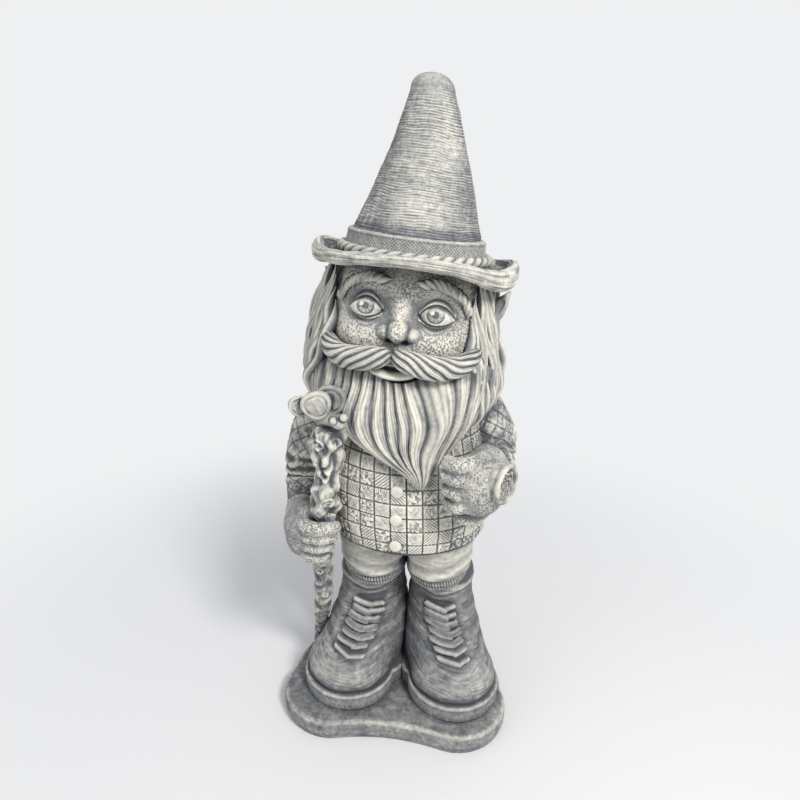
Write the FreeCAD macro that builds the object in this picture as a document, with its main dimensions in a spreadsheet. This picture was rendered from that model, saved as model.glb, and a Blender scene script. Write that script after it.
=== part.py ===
"""Garden gnome, a lawn statue in cast stone, on its own base.

Frame: millimetres, +Z up, origin at the middle of the base's underside, the gnome faces -Y.
"right" and "left" are the gnome's own, so its right hand is on the -X side.

The statue is sculpted as separate masses that meet face to face: base, boots, legs, shirt, arms, staff,
head, beard and hat. Steel armature rods run through the masses that they tie together.
"""

import FreeCAD, Part
import math
import os

import Sketcher

V = FreeCAD.Vector
Z_AXIS = V(0, 0, 1)
SIDES = (("right", -1), ("left", 1))

# alias, value in mm or degrees, meaning
DIMENSIONS = (
    ("total_height", 710, "underside of the base to the tip of the hat"),
    ("base_thick", 25, "base slab"),
    ("base_lobe_radius", 60, "front lobe of the base, one in front of each boot"),
    ("base_lobe_x", 75, "lobe centre from the middle"),
    ("base_lobe_y", -45, "lobe centre"),
    ("base_rear_radius", 104, "round back of the base"),
    ("base_rear_y", 22, "its centre"),
    ("base_notch_radius", 265, "hollow between the two front lobes"),
    ("base_round", 5, "fillet round the top edge of the base"),
    ("body_x", 5, "legs and shirt stand this far to the left of the middle"),
    ("head_x", -4, "neck from the middle"),
    ("sole_thick", 22, "boot sole and welt"),
    ("heel_radius", 32, "sole outline at the heel"),
    ("toe_radius", 55, "sole outline at the toe"),
    ("boot_reach", 85, "heel centre to toe centre"),
    ("boot_splay", 22, "how far each boot turns out"),
    ("heel_x", 32, "heel centre from the middle"),
    ("heel_y", 48, "heel centre"),
    ("boot_top_z", 173, "top of the boot shaft"),
    ("shaft_width", 72, "boot shaft across"),
    ("lace_radius", 2.8, "boot lace"),
    ("lace_length", 30, "one lace between its eyelets"),
    ("sock_top_z", 184, "top of the rolled sock"),
    ("leg_x", 38, "trouser leg centre from the middle"),
    ("leg_width", 80, "trouser leg across"),
    ("leg_depth", 108, "trouser leg front to back"),
    ("hem_z", 242, "shirt hem"),
    ("shirt_top_z", 428, "shirt collar"),
    ("shirt_width", 184, "shirt across the belly"),
    ("shirt_depth", 162, "shirt front to back"),
    ("button_radius", 7, "shirt button"),
    ("button_proud", 4, "how far a button stands out"),
    ("button_pitch", 31, "button to button"),
    ("sleeve_radius", 30, "sleeve at its fullest"),
    ("strand_radius", 8.5, "thick lock of an eyebrow, the moustache or an ear"),
    ("hand_width", 52, "closed hand across the knuckles"),
    ("right_hand_height", 54, "right hand over its fingers"),
    ("left_hand_height", 66, "left hand over its fingers"),
    ("hand_depth", 46, "closed hand front to back"),
    ("staff_radius", 17, "staff at its head"),
    ("staff_top_z", 380, "top of the staff"),
    ("butterfly_radius", 7, "body of the butterfly"),
    ("wing_radius", 14, "butterfly wing"),
    ("wing_thick", 6, "butterfly wing"),
    ("spyglass_radius", 20, "spyglass barrel"),
    ("spyglass_length", 46, "spyglass barrel"),
    ("spyglass_wall", 4, "rim round the recessed glass"),
    ("head_radius", 84, "skull"),
    ("face_y", -76, "front of the face"),
    ("head_z", 478, "skull centre"),
    ("head_tilt", 5, "head leans to its left"),
    ("head_turn", -3, "head looks to its right"),
    ("neck_z", 425, "pivot of that lean and turn"),
    ("eye_radius", 13, "eyeball"),
    ("eye_x", 33, "eyeball from the middle"),
    ("eye_z", 498, "eyeball"),
    ("nose_radius", 11, "ball of the nose"),
    ("beard_width", 200, "beard across its fullest"),
    ("beard_tip_z", 326, "tip of the beard"),
    ("brim_z", 537, "underside of the brim"),
    ("brim_thick", 6, "brim"),
    ("brim_radius", 104, "brim"),
    ("brim_curl", 11, "how far the rolled edge rises"),
    ("band_height", 21, "hat band"),
    ("band_radius", 70, "hat band at the brim"),
    ("crown_radius", 65, "crown where it leaves the band"),
    ("crown_tip_radius", 21, "round tip of the crown"),
    ("cord_thick", 8, "twisted cord round the band"),
    ("rod_radius", 4, "steel armature rod"),
    ("rod_low_z", 14, "lower end of a leg rod, covered by the base"),
    ("rod_high_z", 300, "upper end of a leg rod"),
    ("spine_low_z", 330, "lower end of the spine rod"),
    ("spine_high_z", 650, "upper end of the spine rod"),
)

doc = FreeCAD.newDocument("garden_gnome")
sheet = doc.addObject("Spreadsheet::Sheet", "dims")


def fill_sheet():
    for row, (alias, value, meaning) in enumerate(DIMENSIONS, start=1):
        sheet.set(f"A{row}", meaning)
        sheet.set(f"B{row}", str(value))
        sheet.setAlias(f"B{row}", alias)
    doc.recompute()


fill_sheet()


def size(alias):
    """A driving dimension as a number, for places that a property can't hold as an expression."""
    return float(sheet.get(alias))


def bind(thing, **properties):
    """Ties properties to the sheet: bind(box, Length="sole_thick * 2"). Every word in it is an alias."""
    for name, formula in properties.items():
        words = "".join(c if c.isalnum() or c == "_" else " " for c in formula).split()
        for word in sorted({w for w in words if w[0].isalpha()}, key=len, reverse=True):
            formula = formula.replace(word, f"<<dims>>.{word}")
        thing.setExpression(name, formula)
    return thing


def placed(thing, at=(0, 0, 0), turn=None):
    thing.Placement = FreeCAD.Placement(V(*at), turn or FreeCAD.Rotation())
    return thing


def blob(name, at, radii, turn=None):
    """An ellipsoid. radii are formulas for its X, Y and Z radius."""
    thing = doc.addObject("Part::Ellipsoid", name)
    bind(thing, Radius2=radii[0], Radius3=radii[1], Radius1=radii[2])
    return placed(thing, at, turn)


def ball(name, radius, at):
    thing = doc.addObject("Part::Sphere", name)
    bind(thing, Radius=radius)
    return placed(thing, at)


def cylinder(name, radius, height, at, turn=None):
    thing = doc.addObject("Part::Cylinder", name)
    bind(thing, Radius=radius, Height=height)
    return placed(thing, at, turn)


def box(name, low, high):
    thing = doc.addObject("Part::Box", name)
    thing.Length, thing.Width, thing.Height = (b - a for a, b in zip(low, high))
    return placed(thing, low)


def loft(name, sections, ruled=False):
    thing = doc.addObject("Part::Loft", name)
    thing.Sections = sections
    thing.Solid = True
    thing.Ruled = ruled
    return thing


def stack(name, width, depth, rings, ruled=False):
    """A loft through level ellipses: z, centre x, centre y, share of width and share of depth for each."""
    sections = []
    along_x = size(width) >= size(depth)
    for z, x, y, wide, deep in rings:
        ring = doc.addObject("Part::Ellipse", f"{name}_ring")
        across, back = f"{width} * {wide} / 2", f"{depth} * {deep} / 2"
        bind(ring, MajorRadius=across if along_x else back, MinorRadius=back if along_x else across)
        sections.append(placed(ring, (x, y, z), None if along_x else FreeCAD.Rotation(Z_AXIS, 90)))
    return loft(name, sections, ruled)


def limb(name, radius, stations, seam=V(0, -1, 0)):
    """A loft through circles square to a path. Each station is a point and a share of the radius.

    seam is a direction across the path that every circle starts from, so that the loft isn't twisted.
    """
    sections = []
    points = [V(*point) for point, _ in stations]
    for i, (point, share) in enumerate(stations):
        ahead = points[min(i + 1, len(points) - 1)] - points[max(i - 1, 0)]
        ring = doc.addObject("Part::Circle", f"{name}_ring")
        bind(ring, Radius=f"{radius} * {share}")
        sections.append(placed(ring, point, FreeCAD.Rotation(seam, V(), ahead, "ZXY")))
    return loft(name, sections)


def fuse(name, things):
    thing = doc.addObject("Part::MultiFuse", name)
    thing.Shapes = things
    return thing


def cut(thing, *tools):
    """thing without the tools, taken away one after the other."""
    for tool in tools:
        result = doc.addObject("Part::Cut", f"{thing.Name}_cut")
        result.Base, result.Tool = thing, tool
        thing = result
    return thing


def sketch_on(body, role, height=None):
    """A sketch on one of the body's own origin planes, lifted by a formula."""
    plane = next(f for f in body.Origin.OriginFeatures if f.Role == role)
    sketch = body.newObject("Sketcher::SketchObject", f"{body.Name}_sketch")
    sketch.AttachmentSupport = [(plane, "")]
    sketch.MapMode = "FlatFace"
    if height:
        bind(sketch, **{"AttachmentOffset.Base.z": height})
    return sketch


def hold(sketch, kind, *args, formula=None):
    """Adds a constraint, and ties its value to the sheet if it has a formula."""
    index = sketch.addConstraint(Sketcher.Constraint(kind, *args))
    if formula:
        sketch.renameConstraint(index, f"held_{index}")
        bind(sketch, **{f"Constraints.held_{index}": formula})


def arc(centre, radius, start, end):
    """A counter-clockwise arc from one point to another."""
    angles = [math.atan2(p[1] - centre[1], p[0] - centre[0]) for p in (start, end)]
    circle = Part.Circle(V(centre[0], centre[1], 0), Z_AXIS, radius)
    first, last = angles[0], angles[1]
    if last <= first:
        last += math.tau
    return Part.ArcOfCircle(circle, first, last)


def line(start, end):
    return Part.LineSegment(V(start[0], start[1], 0), V(end[0], end[1], 0))


def tangent_points(a, radius_a, b, radius_b):
    """Where the line that lies to the right of the way from circle a to circle b touches them."""
    length = math.dist(a, b)
    way = math.atan2(b[1] - a[1], b[0] - a[0])
    normal = way - math.acos((radius_a - radius_b) / length)
    out = math.cos(normal), math.sin(normal)
    return [(c[0] + r * out[0], c[1] + r * out[1]) for c, r in ((a, radius_a), (b, radius_b))]


def between(a, b, share):
    return tuple(p + (q - p) * share for p, q in zip(a, b))


# The base and the boots


def make_base():
    """A slab with a lobe in front of each boot, a hollow between them and a round back."""
    body = doc.addObject("PartDesign::Body", "base_body")
    sketch = sketch_on(body, "XY_Plane")
    x, y, lobe = size("base_lobe_x"), size("base_lobe_y"), size("base_lobe_radius")
    rear, rear_radius = (0, size("base_rear_y")), size("base_rear_radius")
    notch = size("base_notch_radius")
    notch_centre = (0, y - math.sqrt((lobe + notch) ** 2 - x**2))
    right, left = (x, y), (-x, y)
    side_low, side_high = tangent_points(right, lobe, rear, rear_radius)
    far_high, far_low = (-side_high[0], side_high[1]), (-side_low[0], side_low[1])
    meet = between(right, notch_centre, lobe / (lobe + notch))
    far_meet = (-meet[0], meet[1])
    for piece in (
        arc(right, lobe, meet, side_low),
        line(side_low, side_high),
        arc(rear, rear_radius, side_high, far_high),
        line(far_high, far_low),
        arc(left, lobe, far_low, far_meet),
        arc(notch_centre, notch, meet, far_meet),
    ):
        sketch.addGeometry(piece)
    for joint in ((0, 2, 1, 1), (1, 2, 2, 1), (2, 2, 3, 1), (3, 2, 4, 1), (4, 2, 5, 2), (5, 1, 0, 1)):
        hold(sketch, "Tangent", *joint)
    for index, radius in ((0, "base_lobe_radius"), (4, "base_lobe_radius"), (2, "base_rear_radius")):
        hold(sketch, "Radius", index, sketch.Geometry[index].Radius, formula=radius)
    hold(sketch, "Radius", 5, notch, formula="base_notch_radius")
    hold(sketch, "DistanceX", -1, 1, 0, 3, x, formula="base_lobe_x")
    hold(sketch, "DistanceX", 4, 3, -1, 1, x, formula="base_lobe_x")
    hold(sketch, "DistanceY", -1, 1, 0, 3, y, formula="base_lobe_y")
    hold(sketch, "DistanceY", -1, 1, 4, 3, y, formula="base_lobe_y")
    hold(sketch, "DistanceY", -1, 1, 2, 3, rear[1], formula="base_rear_y")
    pad = body.newObject("PartDesign::Pad", "base_pad")
    pad.Profile = sketch
    bind(pad, Length="base_thick")
    doc.recompute()
    top = size("base_thick")
    edges = enumerate(pad.Shape.Edges, 1)
    rim = [f"Edge{i}" for i, edge in edges if all(abs(v.Z - top) < 0.01 for v in edge.Vertexes)]
    fillet = body.newObject("PartDesign::Fillet", "base_fillet")
    fillet.Base = (pad, rim)
    bind(fillet, Radius="base_round")
    return body


def boot_place(sign):
    """The frame of a boot: heel centre at its origin, toe towards -Y."""
    turn = FreeCAD.Rotation(Z_AXIS, sign * size("boot_splay"))
    return FreeCAD.Placement(V(size("body_x") + sign * size("heel_x"), size("heel_y"), 0), turn)


def make_sole(side, sign):
    """A flat sole: a small circle at the heel and a big one at the toe, joined by their tangents."""
    body = doc.addObject("PartDesign::Body", f"{side}_sole_body")
    sketch = sketch_on(body, "XY_Plane", "base_thick")
    heel, toe = (0, 0), (0, -size("boot_reach"))
    small, big = size("heel_radius"), size("toe_radius")
    heel_left, toe_left = tangent_points(heel, small, toe, big)
    heel_right, toe_right = (-heel_left[0], heel_left[1]), (-toe_left[0], toe_left[1])
    for piece in (
        arc(toe, big, toe_left, toe_right),
        line(toe_right, heel_right),
        arc(heel, small, heel_right, heel_left),
        line(heel_left, toe_left),
    ):
        sketch.addGeometry(piece)
    for joint in ((0, 2, 1, 1), (1, 2, 2, 1), (2, 2, 3, 1), (3, 2, 0, 1)):
        hold(sketch, "Tangent", *joint)
    hold(sketch, "Radius", 0, big, formula="toe_radius")
    hold(sketch, "Radius", 2, small, formula="heel_radius")
    hold(sketch, "Coincident", 2, 3, -1, 1)
    hold(sketch, "PointOnObject", 0, 3, -2)
    hold(sketch, "DistanceY", 0, 3, -1, 1, -toe[1], formula="boot_reach")
    pad = body.newObject("PartDesign::Pad", f"{side}_sole_pad")
    pad.Profile = sketch
    bind(pad, Length="sole_thick")
    body.Placement = boot_place(sign)
    return body


# share of the boot's height above the sole, centre y, share of the shaft's width, depth in mm
SHAFT_RINGS = (
    (0.00, -52, 1.34, 164),
    (0.20, -50, 1.32, 156),
    (0.38, -38, 1.24, 130),
    (0.55, -31, 1.12, 110),
    (0.75, -29, 1.02, 94),
    (1.00, -30, 1.00, 86),
)


def shaft_front(share, x):
    """How far forward the shaft reaches at a share of its height and a distance from its middle."""
    for low, high in zip(SHAFT_RINGS, SHAFT_RINGS[1:]):
        if share <= high[0]:
            part = (share - low[0]) / (high[0] - low[0])
            y, wide, deep = (p + (q - p) * part for p, q in zip(low[1:], high[1:]))
            return y - deep / 2 * math.sqrt(1 - (2 * x / (size("shaft_width") * wide)) ** 2)
    return SHAFT_RINGS[-1][1]


def make_upper(side, sign):
    """The leather: a shaft that runs forward over the instep, and a round toe cap."""
    low, high = size("base_thick") + size("sole_thick"), size("boot_top_z")
    sections = []
    for share, y, wide, deep in SHAFT_RINGS:
        ring = doc.addObject("Part::Ellipse", f"{side}_shaft_ring")
        bind(ring, MajorRadius=f"{deep} / 2", MinorRadius=f"shaft_width * {wide} / 2")
        sections.append(placed(ring, (0, y, low + share * (high - low)), FreeCAD.Rotation(Z_AXIS, 90)))
    shaft = loft(f"{side}_shaft", sections)
    toe_at = (0, -size("boot_reach") + 1, low + 4)
    toe = blob(f"{side}_toe", toe_at, ("toe_radius - 4", "toe_radius - 4", "42"))
    under = box(f"{side}_toe_under", (-80, -200, low - 80), (80, 80, low))
    upper = fuse(f"{side}_upper", [shaft, cut(toe, under)])
    upper.Placement = boot_place(sign)
    return upper


LACE_ROWS = 7


def make_laces(side, sign, upper):
    """Laces over the inner side of the instep, one bar each way in every row, let into the leather."""
    low, high = size("base_thick") + size("sole_thick"), size("boot_top_z")
    bars = []
    for row in range(LACE_ROWS):
        share = 0.32 + 0.38 * row / (LACE_ROWS - 1)
        x = -sign * (9 + 7 * row / (LACE_ROWS - 1))
        z = low + share * (high - low)
        for lean in (-1, 1):
            turn = FreeCAD.Rotation(V(0, 1, 0), 90 + lean * 10)
            reach = turn.multVec(Z_AXIS) * size("lace_length") / 2
            at = V(x, shaft_front(share, x) - 0.5, z) - reach
            bars.append(cylinder(f"{side}_lace", "lace_radius", "lace_length", at, turn))
    laces = fuse(f"{side}_laces", bars)
    laces.Placement = boot_place(sign)
    return cut(laces, upper)


# The legs, the shirt and the arms


def other_half(side, sign):
    """Everything on the far side of the body's middle plane, up to the hem."""
    middle = size("body_x")
    near, far = sorted((middle, middle - sign * 150))
    return box(f"{side}_other_half", (near, -150, 0), (far, 150, size("hem_z") + 5))


def make_leg(side, sign):
    low, high = size("sock_top_z"), size("hem_z")
    x = size("body_x") + sign * size("leg_x")
    middle = (low + high) / 2
    rings = ((low, x, 2, 0.90, 0.86), (middle, x, 0, 1.00, 1.00), (high, x, -2, 1.08, 1.16))
    leg = stack(f"{side}_leg_loft", "leg_width", "leg_depth", rings)
    return cut(leg, other_half(side, sign))


def make_sock(side, sign):
    """A rolled sock top between the boot and the trouser leg."""
    low, high = size("boot_top_z"), size("sock_top_z")
    x = size("body_x") + sign * size("leg_x")
    rings = ((low, x, 5, 0.86, 0.74), ((low + high) / 2, x, 4, 0.92, 0.80), (high, x, 3, 0.86, 0.76))
    sock = stack(f"{side}_sock_loft", "leg_width", "leg_depth", rings)
    return sock


SHIRT_RINGS = (  # share of the shirt's height, share of its width, share of its depth, centre y
    (0.00, 0.94, 0.95, -4),
    (0.14, 1.00, 1.00, -3),
    (0.32, 1.00, 1.00, -2),
    (0.52, 0.96, 0.95, 0),
    (0.72, 0.87, 0.83, 2),
    (0.88, 0.70, 0.66, 3),
    (1.00, 0.46, 0.48, 2),
)


def make_shirt():
    """The barrel of the body, down to the hem."""
    low, high = size("hem_z"), size("shirt_top_z")
    x = size("body_x")
    rings = []
    for share, wide, deep, y in SHIRT_RINGS:
        rings.append((low + share * (high - low), x * (1 - share), y, wide, deep))
    return stack("shirt_loft", "shirt_width", "shirt_depth", rings)


def make_buttons(shirt):
    """Round buttons down the front edge, standing out of the cloth."""
    buttons = []
    forward = FreeCAD.Rotation(V(1, 0, 0), 90)
    for row in range(3):
        z = size("hem_z") + 12 + row * size("button_pitch")
        at = (size("body_x") - 4, 0, z)
        reach = "shirt_depth / 2 + button_proud"
        buttons.append(cylinder("shirt_button", "button_radius", reach, at, forward))
    keep = doc.addObject("Part::Compound", "button_blanks")
    keep.Links = buttons
    return cut(keep, shirt)


ARM_STATIONS = {  # distance out from the middle, y, z and share of the sleeve's radius
    "right": (
        (54, 8, 398, 0.74),
        (88, 6, 372, 0.96),
        (107, 5, 325, 1.00),
        (109, 0, 282, 0.94),
        (103, -42, 257, 0.76),
    ),
    "left": (
        (54, 8, 398, 0.74),
        (84, 8, 372, 0.96),
        (95, 6, 340, 1.00),
        (97, 2, 322, 0.94),
        (87, -54, 336, 0.76),
    ),
}


def make_sleeve(side, sign):
    """An arm: from the shoulder down to the elbow, and from the elbow forward to the wrist."""
    *upper, wrist = [((sign * x, y, z), share) for x, y, z, share in ARM_STATIONS[side]]
    elbow = upper[-1]
    upper_arm = limb(f"{side}_upper_arm", "sleeve_radius", upper)
    forearm = limb(f"{side}_forearm", "sleeve_radius", (elbow, wrist), Z_AXIS)
    knob = ball(f"{side}_elbow", f"sleeve_radius * {elbow[1]}", elbow[0])
    return fuse(f"{side}_sleeve_raw", [upper_arm, forearm, knob])


def make_staff():
    """A gnarled stick, thick at the head, leaning forward past the arm to stand on the base."""
    top = size("staff_top_z")
    stations = (
        ((-109, 20, size("base_thick") - 6), 0.55),
        ((-94, -18, 125), 0.68),
        ((-84, -50, 200), 0.72),
        ((-83, -68, 255), 0.74),
        ((-77, -75, 300), 0.86),
        ((-73, -78, 345), 0.88),
        ((-71, -79, top), 1.00),
    )
    return limb("staff_loft", "staff_radius", stations)


# share of the hand's height, share of its width
FINGER_RINGS = ((0.00, 0.66), (0.08, 0.86), (0.18, 0.96), (0.28, 0.92), (0.39, 1.00), (0.50, 0.94))
FINGER_RINGS += ((0.61, 1.00), (0.72, 0.93), (0.82, 0.96), (0.92, 0.86), (1.00, 0.66))


def make_fist(side, centre, height):
    """A closed hand with four stacked fingers that bulge a little. centre is its lowest point."""
    x, y, z = centre
    rings = [(z + level * size(height), x, y, share, share) for level, share in FINGER_RINGS]
    return stack(f"{side}_fist", "hand_width", "hand_depth", rings, ruled=True)


def make_spyglass():
    """A short barrel with a rim, and the recessed glass in its end."""
    length, wall = size("spyglass_length"), size("spyglass_wall")
    start = (69, -89, 346)
    sideways = FreeCAD.Rotation(Z_AXIS, V(0.85, -0.53, 0))
    end = V(*start) + sideways.multVec(Z_AXIS) * (length - wall)
    barrel = cylinder("spyglass_barrel", "spyglass_radius", "spyglass_length", start, sideways)
    bore = "spyglass_radius - spyglass_wall"
    recess = cylinder("spyglass_recess", bore, "spyglass_wall * 2", end, sideways)
    glass = cylinder("spyglass_glass", bore, "spyglass_wall / 2", end, sideways)
    return cut(barrel, recess), glass


WINGS = ((-1, -9, 16, 1.00, 12), (10, 5, 17, 1.10, -14), (-21, -3, 11, 0.75, 28))  # x, y, z, size, turn


def make_butterfly():
    """A butterfly on the staff's head: a tapered body with two ball eyes, and wings like thick discs."""
    x, y, z = -76, -84, size("staff_top_z") + 12
    stations = (((x - 22, y + 2, z + 8), 0.5), ((x, y, z), 1.0), ((x + 19, y - 4, z - 2), 0.9))
    trunk = limb("butterfly_trunk", "butterfly_radius", stations)
    parts = [trunk, ball("butterfly_head", "butterfly_radius + 1", (x + 20, y - 5, z - 2))]
    for dx, dz in ((15, 1), (25, 4)):
        parts.append(ball("butterfly_eye", "butterfly_radius / 2", (x + dx, y - 11, z + dz)))
    wings = []
    for dx, dy, dz, share, yaw in WINGS:
        turn = FreeCAD.Rotation(Z_AXIS, yaw).multiply(FreeCAD.Rotation(V(1, 0, 0), 90))
        at = V(x + dx, y + dy, z + dz) - turn.multVec(Z_AXIS) * size("wing_thick") / 2
        wings.append(cylinder("wing", f"wing_radius * {share}", "wing_thick", at, turn))
    return fuse("butterfly_raw", parts), fuse("wings_raw", wings)


# The head and the hat. They are built upright and then leant and turned together about the neck.


def head_place():
    lean = FreeCAD.Rotation(V(0, 1, 0), size("head_tilt"))
    turn = FreeCAD.Rotation(Z_AXIS, size("head_turn"))
    pivot = V(0, 0, size("neck_z"))
    return FreeCAD.Placement(V(size("head_x"), 0, 0), lean.multiply(turn), pivot)


def on_head(thing):
    thing.Placement = head_place().multiply(thing.Placement)
    return thing


def make_skull():
    """A ball whose front is the face and whose lower part is bonded into the shirt."""
    at = (0, size("face_y") + size("head_radius"), size("head_z"))
    return on_head(ball("skull", "head_radius", at))


def make_eyes(side, sign):
    at = (sign * size("eye_x"), size("face_y") + 15, size("eye_z"))
    return on_head(ball(f"{side}_eyeball", "eye_radius", at))


def make_nose():
    """The ball of the nose, a wing each side and the bridge above."""
    y, z = size("face_y") - 10, size("eye_z") - 17
    pieces = [
        ball("nose_ball", "nose_radius", (1, y, z)),
        limb("nose_bridge", "nose_radius", (((1, y, z), 0.8), ((1, y + 8, z + 22), 0.65))),
    ]
    for _, sign in SIDES:
        pieces.append(ball("nose_wing", "nose_radius * 0.7", (1 + sign * 13, y + 8, z - 3)))
    return on_head(fuse("nose_raw", pieces))


def make_brow(side, sign):
    z = size("eye_z") + 20
    y = size("face_y") + 6
    stations = (
        ((sign * 14, y - 5, z + 2), 0.45),
        ((sign * 28, y - 4, z + 8), 1.00),
        ((sign * 44, y + 5, z + 8), 0.90),
        ((sign * 60, y + 20, z - 4), 0.35),
    )
    return on_head(limb(f"{side}_brow", "strand_radius", stations, Z_AXIS))


# distance out, y behind the face, z above the mouth and share of the strand's radius
MOUSTACHE_STATIONS = (
    (76, 24, 6, 0.55),
    (66, 12, 0, 0.95),
    (46, -4, -5, 1.18),
    (22, -14, -1, 1.18),
)


def make_moustache():
    """A moustache that is full beside the nose and sweeps out and up to blunt ends."""
    y, z = size("face_y") - 2, size("eye_z") - 42
    stations = [((-x, y + dy, z + dz), share) for x, dy, dz, share in MOUSTACHE_STATIONS]
    stations.append(((0, y - 15, z + 5), 0.85))
    stations += [((x, y + dy, z + dz), share) for x, dy, dz, share in reversed(MOUSTACHE_STATIONS)]
    return on_head(limb("moustache_loft", "strand_radius", stations, Z_AXIS))


BEARD_RINGS = (  # height, centre x and y, share of the beard's width, depth in mm
    (448, 1, -26, 0.86, 112),
    (430, -1, -29, 0.94, 120),
    (409, -2, -32, 0.96, 122),
    (384, 0, -38, 0.81, 112),
    (362, 3, -46, 0.56, 96),
    (342, 14, -63, 0.29, 56),
    (0, 25, -84, 0.08, 14),
)


def make_beard():
    """A broad onion-shaped beard, whose tip is swept to the gnome's left."""
    sections = []
    for z, x, y, wide, deep in BEARD_RINGS:
        ring = doc.addObject("Part::Ellipse", "beard_ring")
        radii = [f"beard_width * {wide} / 2", f"{deep} / 2"]
        bind(ring, MajorRadius=radii[0], MinorRadius=radii[1])
        sections.append(placed(ring, (x, y, z or size("beard_tip_z"))))
    return loft("beard_loft", sections)


def make_lip():
    at = (0, size("face_y") - 8, size("neck_z") + 12)
    return on_head(blob("lip", at, ("20", "9", "8")))


def make_hair():
    """Long hair over the back of the head and down beside the face."""
    sides = blob("hair_sides", (0, 8, size("neck_z") + 36), ("100", "60", "102"))
    back = blob("hair_back", (0, 34, size("neck_z") + 40), ("84", "60", "104"))
    return on_head(fuse("hair_raw", [sides, back]))


def make_ear(side, sign):
    """A pointed ear, its lower half covered by the hair. The right one lies closer to the head."""
    z = size("eye_z") + 5
    close = 0 if sign > 0 else 5
    points = (((80, 6, -16), 0.40), ((88, 4, -4), 0.90), ((93, 4, 6), 0.80), ((97, 5, 16), 0.25))
    stations = [((sign * (x - close), y, z + rise), share) for (x, y, rise), share in points]
    return on_head(limb(f"{side}_ear_loft", "strand_radius", stations))


def turned(name, corners):
    """A solid of revolution about the hat's axis. corners go round the section as radius and height."""
    body = doc.addObject("PartDesign::Body", f"{name}_body")
    sketch = sketch_on(body, "XZ_Plane")
    count = len(corners)
    for i in range(count):
        sketch.addGeometry(line(corners[i][:2], corners[(i + 1) % count][:2]))
    for i in range(count):
        hold(sketch, "Coincident", i, 2, (i + 1) % count, 1)
    for i, corner in enumerate(corners):
        radius, height, radius_formula, height_formula = corner
        if radius:
            hold(sketch, "DistanceX", -1, 1, i, 1, radius, formula=radius_formula)
        else:
            hold(sketch, "PointOnObject", i, 1, -2)
        hold(sketch, "DistanceY", -1, 1, i, 1, height, formula=height_formula)
    spun = body.newObject("PartDesign::Revolution", f"{name}_revolution")
    spun.Profile = sketch
    spun.ReferenceAxis = (sketch, ["V_Axis"])
    spun.Angle = 360
    return body


def corner(radius_formula, height_formula):
    """A corner of a turned section, with the numbers that its two formulas give."""
    names = {alias: value for alias, value, _ in DIMENSIONS}
    numbers = [worked_out(formula, names) for formula in (radius_formula, height_formula)]
    return (*numbers, radius_formula, height_formula)


def worked_out(formula, names):
    """The value of a sum or difference of aliases and numbers, each of them times at most one number."""
    total, sign = 0.0, 1
    for token in formula.replace("+", " + ").replace("-", " - ").split():
        if token in "+-":
            sign = 1 if token == "+" else -1
        else:
            total += sign * (names[token] if token in names else float(token))
    return total


def make_brim():
    return turned(
        "brim",
        [
            corner("0", "brim_z"),
            corner("brim_radius - 14", "brim_z"),
            corner("brim_radius - 4", "brim_z + 2"),
            corner("brim_radius", "brim_z + 8"),
            corner("brim_radius - 1", "brim_z + brim_thick + brim_curl - 3"),
            corner("brim_radius - 6", "brim_z + brim_thick + brim_curl"),
            corner("brim_radius - 12", "brim_z + brim_thick + 2"),
            corner("brim_radius - 18", "brim_z + brim_thick"),
            corner("0", "brim_z + brim_thick"),
        ],
    )


def make_band():
    return turned(
        "band",
        [
            corner("0", "brim_z + brim_thick"),
            corner("band_radius", "brim_z + brim_thick"),
            corner("crown_radius + 2", "brim_z + brim_thick + band_height"),
            corner("0", "brim_z + brim_thick + band_height"),
        ],
    )


def make_crown():
    """A cone with a round tip, fuller on the gnome's left side."""
    low = size("brim_z") + size("brim_thick") + size("band_height")
    high = size("total_height")
    tip = size("crown_tip_radius")
    sections = []
    tip_start = high - tip * 0.72
    for share in (0.0, 0.25, 0.5, 0.75, 1.0):
        ring = doc.addObject("Part::Circle", "crown_ring")
        bow = math.sin(math.pi * share)
        bind(ring, Radius=f"crown_radius * {1 - share - 0.014 * bow} + crown_tip_radius * {share}")
        sections.append(placed(ring, (-2 - 2 * share + 3 * bow, 0, low + share * (tip_start - low))))
    cone = loft("crown_cone", sections)
    radii = [f"crown_tip_radius * {share}" for share in (1.03, 1.03, 0.97)]
    cap = blob("crown_cap", (-4, 0, tip_start - tip * 0.25), radii)
    return fuse("crown", [cone, cap])


def make_cord():
    """A cord laid round the foot of the band, on the brim."""
    return turned(
        "cord",
        [
            corner("band_radius", "brim_z + brim_thick"),
            corner("band_radius + cord_thick - 1", "brim_z + brim_thick"),
            corner("band_radius + cord_thick", "brim_z + brim_thick + 4"),
            corner("band_radius + cord_thick - 3", "brim_z + brim_thick + 8"),
            corner("band_radius - 1.5", "brim_z + brim_thick + 8"),
        ],
    )


# Armature


def make_leg_rod(sign):
    at = (size("body_x") + sign * size("leg_x"), 6, size("rod_low_z"))
    return cylinder("leg_rod", "rod_radius", "rod_high_z - rod_low_z", at)


def make_spine_rod():
    at = (0, 0, size("spine_low_z"))
    return on_head(cylinder("spine_rod_bar", "rod_radius", "spine_high_z - spine_low_z", at))


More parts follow.
